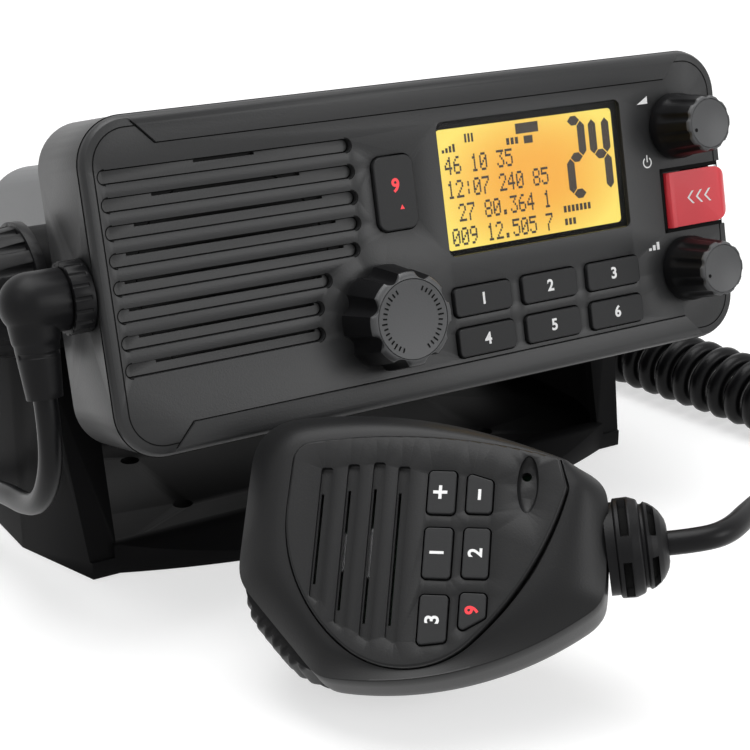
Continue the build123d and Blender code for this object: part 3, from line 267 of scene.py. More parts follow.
def curl_points():
    """Points of the curls: a helix wound about the smooth line of the curly part's axis."""
    axis = line_points(in_metres(curl_route))
    total = line_length(axis)
    turns = round(total / (CURL_PITCH * MM))
    wound = (CURL_DIAMETER - CORD_DIAMETER) / 2 * MM / math.cos(math.pi / CURL_STEPS)
    steps = turns * CURL_STEPS
    points = []
    leg, walked = 0, 0.0
    for step in range(steps + 1):
        target = total * step / steps
        while leg < len(axis) - 2 and walked + (axis[leg + 1] - axis[leg]).length < target:
            walked += (axis[leg + 1] - axis[leg]).length
            leg += 1
        run = axis[leg + 1] - axis[leg]
        centre = axis[leg] + run * min(1.0, (target - walked) / run.length)
        side = run.cross(Vector((0, 0, 1))).normalized()
        rise = side.cross(run).normalized()
        opening = min(1.0, step / CURL_STEPS, (steps - step) / CURL_STEPS)
        angle = 2 * math.pi * step / CURL_STEPS
        swing = side * math.cos(angle) + rise * math.sin(angle)
        points.append(centre + swing * wound * math.sin(opening * math.pi / 2))
    return points


curl = route_curve("cord_curls", curl_points(), CORD_DIAMETER * MM)
curl.data.resolution_u = 3
curl.data.bevel_resolution = 3
curl.data.materials.append(cord_jacket)
scene_pieces.link(curl)
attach(curl, "bracket")
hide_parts("cord_curl")
line_length(curl_points())

# ------------------------
# Bracket: one black moulding, glass-filled nylon, with two hollow box-section arms standing on a
# bowed base plate. Four screws fix it through the base, which stands on four rubber pads.


def welded(piece):
    """Joins the corners that a CAD mesh has more than once, so that edges can be worked."""
    weld = piece.modifiers.new("weld", "WELD")
    weld.merge_threshold = 0.00002


def soften(piece, width, segments):
    """Rounds a piece's sharp edges by so many millimetres, as its mould does."""
    bevel = piece.modifiers.new("soft_edges", "BEVEL")
    bevel.width = width * MM
    bevel.segments = segments
    bevel.limit_method = "ANGLE"
    bevel.angle_limit = math.radians(40)
    bevel.harden_normals = True


def dress(node, material, angle=30, soft=0.0):
    """Gives a CAD node its finish and smooth shading, with its edges softened where they are moulded."""
    piece = frame["nodes"][node]
    mesh = piece.data
    mesh.materials.clear()
    mesh.materials.append(material)
    mesh.polygons.foreach_set("material_index", [0] * len(mesh.polygons))
    shade(mesh, angle)
    if soft:
        welded(piece)
        soften(piece, soft, 2)


bracket_nylon = moulded("bracket_nylon", (0.005, 0.005, 0.0053), 0.5, grain=0.25, shine=0.05)
knob_rubber = moulded("knob_rubber", (0.0055, 0.0055, 0.006), 0.4, grain=0.3, shine=0.12)
dress("bracket", bracket_nylon, soft=0.5)
dress("base_pads", knob_rubber)

# ------------------------
# Gimbal knobs and washers: fluted rubber-covered clamp knobs with steel studs, screwed through
# the arms into the case, with a rubber friction washer inside each arm.
for side in ("left", "right"):
    dress(f"knob_{side}", knob_rubber, soft=0.25)
    dress(f"washer_{side}", knob_rubber)

# ------------------------
# Rear case: die-cast aluminium, painted grey, with cooling ribs, the antenna socket and the
# rubber gland of the power lead. Four screws hold it to the front moulding over a rubber gasket.
case_paint = moulded("case_paint", (0.085, 0.087, 0.09), 0.45, grain=0.4, grain_size=1800.0)
dress("rear_chassis", case_paint, soft=0.4)


def metal(name, colour, roughness):
    """A bare metal finish."""
    material = moulded(name, colour, roughness)
    inputs_of(material)["Metallic"].default_value = 1.0
    return material


bright_plate = metal("bright_plate", (0.72, 0.71, 0.68), 0.22)
steel = metal("steel", (0.50, 0.50, 0.51), 0.35)
dress("antenna_socket", bright_plate)
dress("power_gland", knob_rubber)
dress("case_screws", steel)
dress("face_gasket", knob_rubber)

# ------------------------
# Front moulding: charcoal ABS with a fine spark-eroded grain. Eight sunk grille slots are on the
# left, and openings for the display, the keys and the knobs on the right.
front_abs = moulded("front_abs", (0.024, 0.0243, 0.025), 0.38, grain=0.45, shine=0.24)
dress("front_bezel", front_abs, soft=0.25)

# Lays a plate's own plane on the radio's face: its y runs up the face, and its z out of it.
FACE = Matrix(((1, 0, 0, 0), (0, 0, -1, 0), (0, 1, 0, 0), (0, 0, 0, 1)))
# One flat black: the real black of printed borders, ticks and the cover's rubber seal, and also painted
# shade in seams, slot floors, sunk dots and the boot's window floors.
flat_black_and_painted_shade = moulded("flat_black_and_painted_shade", (0.003, 0.003, 0.003), 0.8, shine=0.1)


def on_face(x, z, proud=0.0):
    """A place on the radio's face, standing proud by so many millimetres."""
    return RADIO @ Matrix.Translation((x, -proud - 0.02, z)) @ FACE


def flat_mesh(name, outlines, to_room, thickness):
    """Thin plates, one for each outline in millimetres, standing up from their plane."""
    points, faces = [], []
    for outline in outlines:
        start, count = len(points), len(outline)
        points += [(x, y, 0.0) for x, y in outline] + [(x, y, thickness) for x, y in outline]
        faces.append([start + i for i in reversed(range(count))])
        faces.append([start + count + i for i in range(count)])
        for i in range(count):
            j = (i + 1) % count
            faces.append([start + i, start + j, start + count + j, start + count + i])
    mesh = bpy.data.meshes.new(name)
    mesh.from_pydata([to_room @ Vector(point) for point in points], [], faces)
    return mesh


def inlay(name, outlines, to_room, material, body="radio", thickness=0.03):
    """Thin plates on a face or in it, as one piece."""
    place_piece(name, flat_mesh(name, outlines, to_room, thickness), material, body)


def arc(radius, start, end, steps):
    """Points along part of a circle between two angles in degrees."""
    angles = [math.radians(start + (end - start) * step / steps) for step in range(steps + 1)]
    return [(radius * math.cos(angle), radius * math.sin(angle)) for angle in angles]


def rounded_box(left, low, right, high, radius, steps=10):
    """Outline of a rectangle with round corners, from its lower right corner on."""
    left, low, right, high = left + radius, low + radius, right - radius, high - radius
    outline = []
    for quarter, (x, y) in enumerate(((right, low), (right, high), (left, high), (left, low))):
        corner = arc(radius, 90 * (quarter - 1), 90 * quarter, steps)
        outline += [(x + across, y + up) for across, up in corner]
    return outline


def band(outer, inner, closed=True):
    """The narrow band between two outlines with as many points, as four-sided plates."""
    last = len(outer) if closed else len(outer) - 1
    plates = []
    for i in range(last):
        j = (i + 1) % len(outer)
        plates.append([outer[i], outer[j], inner[j], inner[i]])
    return plates


PANEL_HALF, PANEL_TALL, PANEL_CORNER = 80.5, 68.0, 10.0


def panel_outline(inset):
    """The panel's outline, drawn in by so many millimetres all round."""
    half, corner = PANEL_HALF - inset, PANEL_CORNER - inset
    return rounded_box(-half, inset, half, PANEL_TALL - inset, corner, 14)


# A painted shadow line along the seam round the face, from one raised strip to the other at each end of
# the panel: a thin black plate on the face where the seam's shade falls.
SEAM_INSET, SEAM_WIDE, SEAM_FROM_MIDDLE = 2.3, 0.25, 67.0
seam_shade_plates = []
for plate in band(panel_outline(SEAM_INSET), panel_outline(SEAM_INSET + SEAM_WIDE)):
    if min(abs(x) for x, _ in plate) > SEAM_FROM_MIDDLE:
        seam_shade_plates.append(plate)
inlay("face_seam_shade", seam_shade_plates, on_face(0, 0), flat_black_and_painted_shade, thickness=0.04)

# A painted shadow line for the seam between the face and the casing's side, all the way round the
# panel's edge: a thin black tube where the seam's shade falls.
EDGE_SEAM_DEPTH, EDGE_SEAM_HALF = 2.0, 0.17
edge_outline = panel_outline(0)
edge_curve = bpy.data.curves.new("edge_seam_shade", "CURVE")
edge_curve.dimensions = "3D"
edge_curve.bevel_depth = EDGE_SEAM_HALF * MM
edge_spline = edge_curve.splines.new("POLY")
edge_spline.points.add(len(edge_outline) - 1)
for knot, (x, z) in zip(edge_spline.points, edge_outline):
    knot.co = (*(RADIO @ Vector((x, EDGE_SEAM_DEPTH, z))), 1)
edge_spline.use_cyclic_u = True
edge_mesh = settled(bpy.data.objects.new("edge_seam_shade", edge_curve))
place_piece("edge_seam_shade", edge_mesh, flat_black_and_painted_shade, "radio")


def strip_foot(end_x, end_z, bend_x, bend_z):
    """A line along a raised strip's foot, which turns away at both of its ends."""
    return [(-end_x, end_z), (-bend_x, bend_z), (bend_x, bend_z), (end_x, end_z)]


# The painted shadow line at the foot of each raised strip: thin black plates on the face where the
# strip's step throws its shade.
strip_shade_lines = []
for foot, way in ((62.0, 1), (6.0, -1)):
    path = strip_foot(68.9, foot + 4.6 * way, 64.5, foot)
    below = strip_foot(69.2, foot + 4.5 * way, 64.65, foot - 0.24 * way)
    strip_shade_lines += band(path, below, closed=False)
inlay("strip_shade_lines", strip_shade_lines, on_face(0, 0), flat_black_and_painted_shade, thickness=0.04)

# The painted shadow line round the floor of each grille slot, and the painted one on the face round its
# two ends: thin black plates where the slots' walls throw their shade. The slots stop short of the
# select knob.
SLOT_COUNT, SLOT_PITCH, SLOT_TALL, SLOT_DEEP = 8, 5.43, 2.9, 1.5
SLOT_LEFT, SLOT_RIGHT, SLOT_TOP = -75.9, -22.1, 56.4
SELECT_X, SELECT_Z, SELECT_RADIUS, ROOM_ROUND_SELECT = -17.9, 19.5, 11.3, 3.3
FLOOR_LINE, END_LINE = 0.26, 0.2
SLOT_HALF = SLOT_TALL / 2
room_round_knob = SELECT_RADIUS + ROOM_ROUND_SELECT + SLOT_HALF


def slot_outline(z, right, growth):
    """A slot's outline, grown or drawn in by so many millimetres all round."""
    reach = SLOT_HALF + growth
    return rounded_box(SLOT_LEFT - reach, z - reach, right + reach, z + reach, reach - 0.001)


slot_floor_shade, end_shade_plates = [], []
for row in range(SLOT_COUNT):
    z = SLOT_TOP - row * SLOT_PITCH
    right = SLOT_RIGHT
    drop = abs(z - SELECT_Z)
    if drop < room_round_knob:
        right = min(right, SELECT_X - math.sqrt(room_round_knob**2 - drop**2))
    outer = slot_outline(z, right, 0)
    slot_floor_shade += band(outer, slot_outline(z, right, -FLOOR_LINE))
    for plate in band(slot_outline(z, right, END_LINE), outer):
        if max(x for x, _ in plate) < SLOT_LEFT + 0.1 or min(x for x, _ in plate) > right - 0.1:
            end_shade_plates.append(plate)
inlay("slot_end_shade", end_shade_plates, on_face(0, 0), flat_black_and_painted_shade)
inlay("slot_floor_shade", slot_floor_shade, on_face(0, 0, -SLOT_DEEP), flat_black_and_painted_shade, thickness=0.04)

# ------------------------
# Loudspeaker behind the grille: a black lacquered steel basket with a dark paper cone, seated on
# the back of the front moulding.
cone_paper = moulded("cone_paper", (0.012, 0.012, 0.012), 0.9, grain=0.5, grain_size=900.0)
dress("speaker_frame", cone_paper)
dress("speaker_cone", cone_paper)

# ------------------------
# Parts inside: glass-epoxy boards, the pressed steel cans of the encoder, its switch, the two
# potentiometers and the microphone's capsule, and the silicone mat behind the front keys.
board_epoxy = moulded("board_epoxy", (0.01, 0.05, 0.02), 0.4)
for name in ("main_board", "front_board", "handset_board"):
    dress(name, board_epoxy)
for name in ("select_encoder", "select_switch", "volume_pot", "squelch_pot", "mic_capsule"):
    dress(name, steel)
key_silicone = moulded("key_silicone", (0.014, 0.0143, 0.015), 0.5, grain=0.3, shine=0.2)
dress("keypad_mat", key_silicone)

# ------------------------
# Display: an amber backlit liquid crystal behind a clear acrylic window. The segments are dark
# films on the glass.
GLASS_FRONT = 1.3
OPENING_LEFT, OPENING_LOW, OPENING_RIGHT, OPENING_HIGH = 0.7, 29.4, 51.2, 58.7
OPENING_X, OPENING_Z = (OPENING_LEFT + OPENING_RIGHT) / 2, (OPENING_LOW + OPENING_HIGH) / 2


def amber_lit():
    """The lit panel: yellow at its edges and deeper amber in the middle, glowing evenly."""
    material = moulded("amber_lit", (0.2, 0.1, 0.02), 0.5)
    nodes, links = material.node_tree.nodes, material.node_tree.links
    place = nodes.new("ShaderNodeTexCoord")
    shift = nodes.new("ShaderNodeMapping")
    shift.vector_type = "TEXTURE"
    shift.inputs["Location"].default_value = RADIO @ Vector((OPENING_X, GLASS_FRONT, OPENING_Z))
    shift.inputs["Rotation"].default_value = (-LEAN, 0, 0)
    shift.inputs["Scale"].default_value = (0.0262, 0.1, 0.0155)
    apart = nodes.new("ShaderNodeSeparateXYZ")
    powers = []
    for axis in ("X", "Z"):
        power = nodes.new("ShaderNodeMath")
        power.operation = "POWER"
        power.inputs[1].default_value = 2.4
        size = nodes.new("ShaderNodeMath")
        size.operation = "ABSOLUTE"
        links.new(apart.outputs[axis], size.inputs[0])
        links.new(size.outputs[0], power.inputs[0])
        powers.append(power)
    total = nodes.new("ShaderNodeMath")
    total.operation = "ADD"
    ramp = nodes.new("ShaderNodeValToRGB")
    ramp.color_ramp.elements[0].position = 0.05
    ramp.color_ramp.elements[0].color = (0.90, 0.40, 0.012, 1)
    ramp.color_ramp.elements[1].position = 1.1
    ramp.color_ramp.elements[1].color = (1.0, 0.84, 0.14, 1)
    links.new(place.outputs["Object"], shift.inputs["Vector"])
    links.new(shift.outputs["Vector"], apart.inputs["Vector"])
    links.new(powers[0].outputs[0], total.inputs[0])
    links.new(powers[1].outputs[0], total.inputs[1])
    links.new(total.outputs[0], ramp.inputs["Fac"])
    links.new(ramp.outputs["Color"], inputs_of(material)["Emission Color"])
    inputs_of(material)["Emission Strength"].default_value = 0.9
    return material


dress("lcd_glass", amber_lit())
dress("lcd_backlight", moulded("diffuser_white", (0.8, 0.6, 0.3), 0.6))
window_acrylic = moulded("window_acrylic", (0.02, 0.02, 0.02), 0.12, shine=0.3)
inputs_of(window_acrylic)["Alpha"].default_value = 0.06
dress("display_window", window_acrylic)
segment_ink = moulded("segment_ink", (0.035, 0.022, 0.012), 0.6)


def bar(x, y, width, height):
    """Corners of an upright rectangle from its lower left corner."""
    return [(x, y), (x + width, y), (x + width, y + height), (x, y + height)]


FIGURE_LOW, FIGURE_WIDE, FIGURE_TALL, FIGURE_STROKE, FIGURE_GAP = 37.6, 5.9, 18.6, 2.1, 0.18


def tall_figure(digit, x):
    """The lit bars of a seven-bar figure with mitred ends."""
    lit = {"2": "abged", "4": "fgbc"}[digit]
    y, width, height = FIGURE_LOW, FIGURE_WIDE, FIGURE_TALL
    half, gap = FIGURE_STROKE / 2, FIGURE_GAP
    mid = y + height / 2
    across_bars = {"a": y + height - half, "g": mid, "d": y + half}
    upright_bars = {
        "f": (x + half, mid, y + height - half),
        "b": (x + width - half, mid, y + height - half),
        "e": (x + half, y + half, mid),
        "c": (x + width - half, y + half, mid),
    }
    shapes = []
    for letter, level_y in across_bars.items():
        if letter in lit:
            low, high = x + half + gap, x + width - half - gap
            shapes.append([
                (low, level_y), (low + half, level_y - half), (high - half, level_y - half),
                (high, level_y), (high - half, level_y + half), (low + half, level_y + half),
            ])
    for letter, (centre, low, high) in upright_bars.items():
        if letter in lit:
            low, high = low + gap, high - gap
            shapes.append([
                (centre, low), (centre + half, low + half), (centre + half, high - half),
                (centre, high), (centre - half, high - half), (centre - half, low + half),
            ])
    return shapes


DOT_WIDE, DOT_TALL = 0.385, 0.56
DOT_FIGURES = {
    "0": "01110 10001 10011 10101 11001 10001 01110",
    "1": "00100 01100 00100 00100 00100 00100 01110",
    "2": "01110 10001 00001 00010 00100 01000 11111",
    "3": "11111 00010 00100 00010 00001 10001 01110",
    "4": "00010 00110 01010 10010 11111 00010 00010",
    "5": "11111 10000 11110 00001 00001 10001 01110",
    "6": "00110 01000 10000 11110 10001 10001 01110",
    "7": "11111 00001 00010 00100 01000 01000 01000",
    "8": "01110 10001 10001 01110 10001 10001 01110",
    "9": "01110 10001 10001 01111 00001 00010 01100",
    ":": "00000 00100 00100 00000 00100 00100 00000",
    ".": "00000 00000 00000 00000 00000 01100 01100",
}


def dot_row(text, x, y):
    """The dots of one row of figures, five dots wide and seven high each."""
    shapes = []
    for place, figure in enumerate(text):
        for row, line in enumerate(DOT_FIGURES.get(figure, "").split()):
            for column, on in enumerate(line):
                if on == "1":
                    left, low = x + (6 * place + column) * DOT_WIDE, y + (6 - row) * DOT_TALL
                    shapes.append(bar(left, low, 0.98 * DOT_WIDE, 0.95 * DOT_TALL))
    return shapes


def bar_row(x, y, pitch, count, width, height, growth=0.0):
    """Bars side by side, each taller than the one before it by the growth."""
    return [bar(x + pitch * i, y, width, height + growth * i) for i in range(count)]


# The black printed border behind the window, and the round inner corners of its opening.
on_glass = RADIO @ Matrix.Translation((0, GLASS_FRONT - 0.02, 0)) @ FACE
border_outer = rounded_box(0.75, 29.45, 51.15, 58.65, 0.3)
border_inner = rounded_box(1.2, 30.7, 49.5, 57.0, 1.0)
inlay("display_border", band(border_outer, border_inner), on_glass, flat_black_and_painted_shade)
FILLET, FILLET_DEEP = 1.6, 0.45
fillets = []
for x, y, start in (
    (OPENING_LEFT, OPENING_LOW, 180), (OPENING_RIGHT, OPENING_LOW, 270),
    (OPENING_RIGHT, OPENING_HIGH, 0), (OPENING_LEFT, OPENING_HIGH, 90),
):
    centre_x = x + math.copysign(FILLET, OPENING_X - x)
    centre_y = y + math.copysign(FILLET, OPENING_Z - y)
    curve = reversed(arc(FILLET, start, start + 90, 8))
    fillets.append([(x, y)] + [(centre_x + across, centre_y + up) for across, up in curve])
in_opening = RADIO @ Matrix.Translation((0, FILLET_DEEP, 0)) @ FACE
inlay("display_corners", fillets, in_opening, front_abs, thickness=FILLET_DEEP)

FILM = 0.05
ROW_LEFT, ROW_TOP, ROW_PITCH = 2.7, 47.1, 5.2
row_shapes = []
for index, text in enumerate(("46 10 35", "12:07 240 85", " 27 80.364 1", "009 12.505 7")):
    row_shapes += dot_row(text, ROW_LEFT, ROW_TOP - ROW_PITCH * index)
inlay("display_rows", row_shapes, on_glass, segment_ink, "radio", FILM)
big_shapes = tall_figure("2", 35.6) + tall_figure("4", 42.6)
inlay("display_figures", big_shapes, on_glass, segment_ink, "radio", FILM)
small_shapes = [bar(22.4, 53.9, 6.2, 2.3)]
small_shapes += bar_row(8.6, 53.6, 0.9, 3, 0.5, 1.9)
small_shapes += bar_row(2.4, 51.9, 0.95, 4, 0.6, 0.7, growth=0.35)
small_shapes += bar_row(19.6, 51.8, 1.2, 3, 0.8, 1.5) + [bar(24.4, 51.6, 2.4, 1.7)]
small_shapes += bar_row(33.4, 34.9, 1.15, 7, 0.75, 1.5)
small_shapes += bar_row(33.4, 32.0, 1.15, 3, 0.75, 1.5)
inlay("display_signs", small_shapes, on_glass, segment_ink, "radio", FILM)

# ------------------------
# Front keys: moulded silicone caps that stand a little proud of the face. Each carries a plain
# printed figure or sign.
for name in frame["nodes"]:
    if name.startswith("key_") and name != "keypad_mat":
        dress(name, key_silicone)
print_white = moulded("print_white", (0.75, 0.75, 0.75), 0.5)
red_print_and_painted_glow = moulded("red_print_and_painted_glow", (0.75, 0.02, 0.03), 0.45)
# The red print also glows a little though nothing lights it from inside: painted light.
inputs_of(red_print_and_painted_glow)["Emission Color"].default_value = (0.8, 0.02, 0.03, 1)
inputs_of(red_print_and_painted_glow)["Emission Strength"].default_value = 0.35
KEY_PROUD = 0.9
KEY_COLUMNS = (7.6, 25.87, 44.14)
KEY_ROWS = (19.4, 10.44)
FONT_SIZE_PER_HEIGHT, INK = 1.38, 0.02


def printed(name, text, height, to_room, material, body, weight=0.0):
    """Figures printed in a plain face, centred on their place, as a thin raised film of ink."""
    words = bpy.data.curves.new(name, "FONT")
    words.body = text
    words.size = height * FONT_SIZE_PER_HEIGHT
    words.align_x = "CENTER"
    words.align_y = "CENTER"
    words.extrude = INK
    words.offset = weight
    words.resolution_u = 4
    mesh = settled(bpy.data.objects.new(name, words))
    mesh.transform(to_room)
    return place_piece(name, mesh, material, body)


signs = {"upper": ("1", "2", "3"), "lower": ("4", "5", "6")}
for z, (row_name, figures) in zip(KEY_ROWS, signs.items()):
    for x, column_name, figure in zip(KEY_COLUMNS, ("left", "middle", "right"), figures):
        key = f"key_{row_name}_{column_name}"
        place = on_face(x, z, KEY_PROUD)
        printed(f"print_{key}", figure, 2.6, place, print_white, key, weight=0.1)
channel_place = on_face(-11.55, 46.6, KEY_PROUD)
printed("print_key_channel", "9", 2.9, channel_place, red_print_and_painted_glow, "key_channel", weight=0.12)
mark = [[(-0.55, -0.3), (0.55, -0.3), (0, 0.65)]]
mark_place = on_face(-10.5, 41.9, KEY_PROUD)
inlay("print_key_channel_mark", mark, mark_place, red_print_and_painted_glow, "key_channel")

# ------------------------
# Select knob: a rubber cap with eight finger scallops and a dished face, on a push shaft. Its face and
# the shoulder round it are the same rubber, painted lighter grey as painted light where they face the
# lamps. Printed ticks run round its face.
# The knobs' rubber painted lighter grey, standing in for the light on their faces and shoulders: painted
# light.
knob_face_painted_light = moulded("knob_face_painted_light", (0.062, 0.063, 0.065), 0.42, grain=0.3, shine=0.3)


def dished_face(name, radius, dish, to_room, rings=6, steps=72):
    """A thin round inlay, hollowed like a saucer, facing out of its plane."""
    points, faces = [(0, 0, -dish)], []
    for ring in range(1, rings + 1):
        part = ring / rings
        for step in range(steps):
            angle = 2 * math.pi * step / steps
            depth = -dish * (1 - part * part)
            points.append((radius * part * math.cos(angle), radius * part * math.sin(angle), depth))
    for step in range(steps):
        faces.append((0, 1 + step, 1 + (step + 1) % steps))
    for ring in range(rings - 1):
        inner, outer = 1 + ring * steps, 1 + (ring + 1) * steps
        for step in range(steps):
            after = (step + 1) % steps
            faces.append((inner + step, outer + step, outer + after, inner + after))
    mesh = bpy.data.meshes.new(name)
    mesh.from_pydata([to_room @ Vector(point) for point in points], [], faces)
    return mesh


def closed_skin(name, rows, to_room):
    """A closed skin over rows of points, each row an outline, with all its faces turned outwards."""
    count = len(rows[0])
    faces = []
    for row in range(len(rows) - 1):
        low, high = row * count, (row + 1) * count
        for step in range(count):
            after = (step + 1) % count
            faces.append((low + step, high + step, high + after, low + after))
    faces.append(list(range(count)))
    faces.append([(len(rows) - 1) * count + step for step in reversed(range(count))])
    mesh = bpy.data.meshes.new(name)
    mesh.from_pydata([to_room @ Vector(point) for row in rows for point in row], [], faces)
    skin = bmesh.new()
    skin.from_mesh(mesh)
    bmesh.ops.recalc_face_normals(skin, faces=skin.faces)
    skin.to_mesh(mesh)
    skin.free()
    return mesh


def fluted_rows(profile, flutes, deep, steps=160):
    """Outlines up a fluted knob, from its heights, radii and shares of the flutes' depth."""
    rows = []
    for height, radius, cut in profile:
        ring = []
        for step in range(steps):
            angle = 2 * math.pi * step / steps
            reach = radius - deep * cut * max(0.0, -math.cos(flutes * angle)) ** 0.8
            ring.append((reach * math.cos(angle), reach * math.sin(angle), height))
        rows.append(ring)
    return rows


def fluted_knob(name, knob, place, sides, shoulder, flutes, deep):
    """A fluted knob: its rubber sides, and the shoulder round its face in the same rubber painted
    lighter grey as painted light.
    """
    for part, profile, material in (("cap", sides, knob_rubber), ("shoulder", shoulder, knob_face_painted_light)):
        skin = closed_skin(f"{name}_{part}", fluted_rows(profile, flutes, deep), place)
        place_piece(f"{name}_{part}", skin, material, knob, angle=50)
    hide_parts(knob)


# Height above the panel, radius and share of the flutes' depth, up the sides and the shoulder.
SELECT_SIDES = (
    (2.0, SELECT_RADIUS, 0.9), (3.4, SELECT_RADIUS, 0.95), (4.6, 11.1, 1.0), (9.0, 10.35, 1.0),
    (11.2, 9.95, 1.0),
)
SELECT_SHOULDER = (
    (10.9, 9.96, 1.0), (11.25, 9.85, 0.98), (11.6, 9.65, 0.8), (11.9, 9.35, 0.5),
    (12.08, 8.9, 0.2), (12.1, 8.5, 0.0), (11.4, 8.2, 0.0),
)
knob = "select_knob"
fluted_knob("select", knob, on_face(SELECT_X, SELECT_Z), SELECT_SIDES, SELECT_SHOULDER, 8, 1.5)
select_face = on_face(SELECT_X, SELECT_Z, 12.05)
select_dial = dished_face("select_dial", 8.3, 0.42, select_face)
place_piece("select_dial", select_dial, knob_face_painted_light, knob)

# The ticks run round the dial but for a gap at its top and one at its foot.
TICKS, TICK_HALF, TICK_INNER, TICK_OUTER, FIFTH_TICK_OUTER = 40, 0.17, 6.3, 7.3, 7.6
ticks = []
for step in range(TICKS):
    if step % 20 in range(8, 13):
        continue
    angle = 2 * math.pi * step / TICKS
    out = Vector((math.cos(angle), math.sin(angle)))
    side = Vector((-out.y, out.x)) * TICK_HALF
    inner, outer = out * TICK_INNER, out * (TICK_OUTER if step % 5 else FIFTH_TICK_OUTER)
    ticks.append([tuple(inner - side), tuple(outer - side), tuple(outer + side), tuple(inner + side)])
ticks_place = on_face(SELECT_X, SELECT_Z, 11.93)
inlay("select_ticks", ticks, ticks_place, flat_black_and_painted_shade, knob, 0.06)

# ------------------------
# Volume and squelch knobs: small tapered caps with their faces painted lighter grey as painted light,
# and a painted shadow dot for a sunk pointer.
# Printed signs stand beside them.
SMALL_SIDES = (
    (0.4, 7.6, 0.0), (2.2, 7.6, 0.0), (3.2, 7.4, 0.3), (4.4, 7.05, 1.0), (8.0, 6.75, 1.0),
    (11.8, 6.38, 1.0),
)
SMALL_SHOULDER = (
    (11.6, 6.39, 1.0), (12.0, 6.32, 0.9), (12.35, 6.2, 0.7), (12.6, 6.0, 0.4),
    (12.7, 5.6, 0.1), (11.9, 5.35, 0.0),
)
SMALL_X, VOLUME_Z, SQUELCH_Z = 66.7, 50.8, 17.3
POINTER_RADIUS, POINTER_X, POINTER_Z = 0.42, -4.1, -1.2
pointer_dot_shade = arc(POINTER_RADIUS, 0, 337.5, 15)
for name, z in (("volume", VOLUME_Z), ("squelch", SQUELCH_Z)):
    knob = f"{name}_knob"
    fluted_knob(name, knob, on_face(SMALL_X, z), SMALL_SIDES, SMALL_SHOULDER, 10, 0.5)
    dial = dished_face(f"{name}_dial", 5.45, 0.6, on_face(SMALL_X, z, 12.66))
    place_piece(f"{name}_dial", dial, knob_face_painted_light, knob)
    # The pointer: a flat black disc on the face, painted shade standing in for a sunk dimple.
    dot = on_face(SMALL_X + POINTER_X, z + POINTER_Z, 12.5)
    inlay(f"{name}_pointer", [pointer_dot_shade], dot, flat_black_and_painted_shade, knob, 0.05)

wedge = [[(-1.6, -0.7), (1.6, -0.7), (1.6, 1.0)]]
inlay("print_volume", wedge, on_face(57.9, 57.5), print_white)
steps_sign = bar_row(-1.7, -0.9, 1.2, 3, 0.8, 0.6, growth=0.6)
inlay("print_squelch", steps_sign, on_face(57.5, 23.7), print_white)

# The power sign: an upright bar in a ring that is open at its top.
RING_RADIUS, RING_WIDE, RING_START, RING_PART = 1.15, 0.32, 125, 58
power_sign = [bar(-RING_WIDE / 2, 0.1, RING_WIDE, 1.6)]
for part in range(5):
    start = RING_START + RING_PART * part
    outer = arc(RING_RADIUS + RING_WIDE / 2, start, start + RING_PART, 8)
    inner = arc(RING_RADIUS - RING_WIDE / 2, start, start + RING_PART, 8)
    power_sign.append(outer + inner[::-1])
inlay("print_power", power_sign, on_face(57.8, 43.3), print_white)

# ------------------------
# Call button cover: a glossy red cap hinged on a steel pin at the panel's edge, with a torsion
# spring. It carries a plain arrow sign.
cover_red = moulded("cover_red", (0.62, 0.032, 0.045), 0.3, grain=0.1, shine=0.42)
COVER_LEFT, COVER_RIGHT, COVER_LOW, COVER_HIGH = 62.3, 81.7, 27.3, 40.2
COVER_BOW, COVER_DRAFT, COVER_STEPS = 5.2, 6.5, 24
# How far out of the face a row of the end's form lies, and how far right it reaches there.
COVER_END = ((-12.0, COVER_RIGHT - COVER_DRAFT), (-0.4, COVER_RIGHT), (4.0, COVER_RIGHT))


def round_ended(node, name):
    """The cover's cap with its free end bowed out as well."""
    cap = bpy.data.objects.new(name, frame["nodes"][node].data.copy())
    welded(cap)
    rows = []
    middle, half = (COVER_LOW + COVER_HIGH) / 2, (COVER_HIGH - COVER_LOW) / 2
    for depth, right in COVER_END:
        outline = []
        for step in range(COVER_STEPS + 1):
            angle = math.radians(180 * step / COVER_STEPS - 90)
            x, z = right - COVER_BOW * (1 - math.cos(angle)), middle + half * math.sin(angle)
            outline.append((x, z, depth))
        rows.append(outline + [(COVER_LEFT - 2, z, depth) for z in (COVER_HIGH, COVER_LOW)])
    form = bpy.data.objects.new("form", closed_skin("form", rows, on_face(0, 0)))
    scene_pieces.link(form)
    cut = cap.modifiers.new("round", "BOOLEAN")
    cut.operation = "INTERSECT"
    cut.solver = "EXACT"
    cut.object = form
    mesh = settled(cap)
    bpy.data.objects.remove(form)
    return mesh


cover_mesh = round_ended("distress_cover", "cover_cap")
cover = place_piece("cover_cap", cover_mesh, cover_red, "distress_cover")
soften(cover, 0.4, 3)
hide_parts("distress_cover")
dress("distress_button", cover_red, soft=0.3)

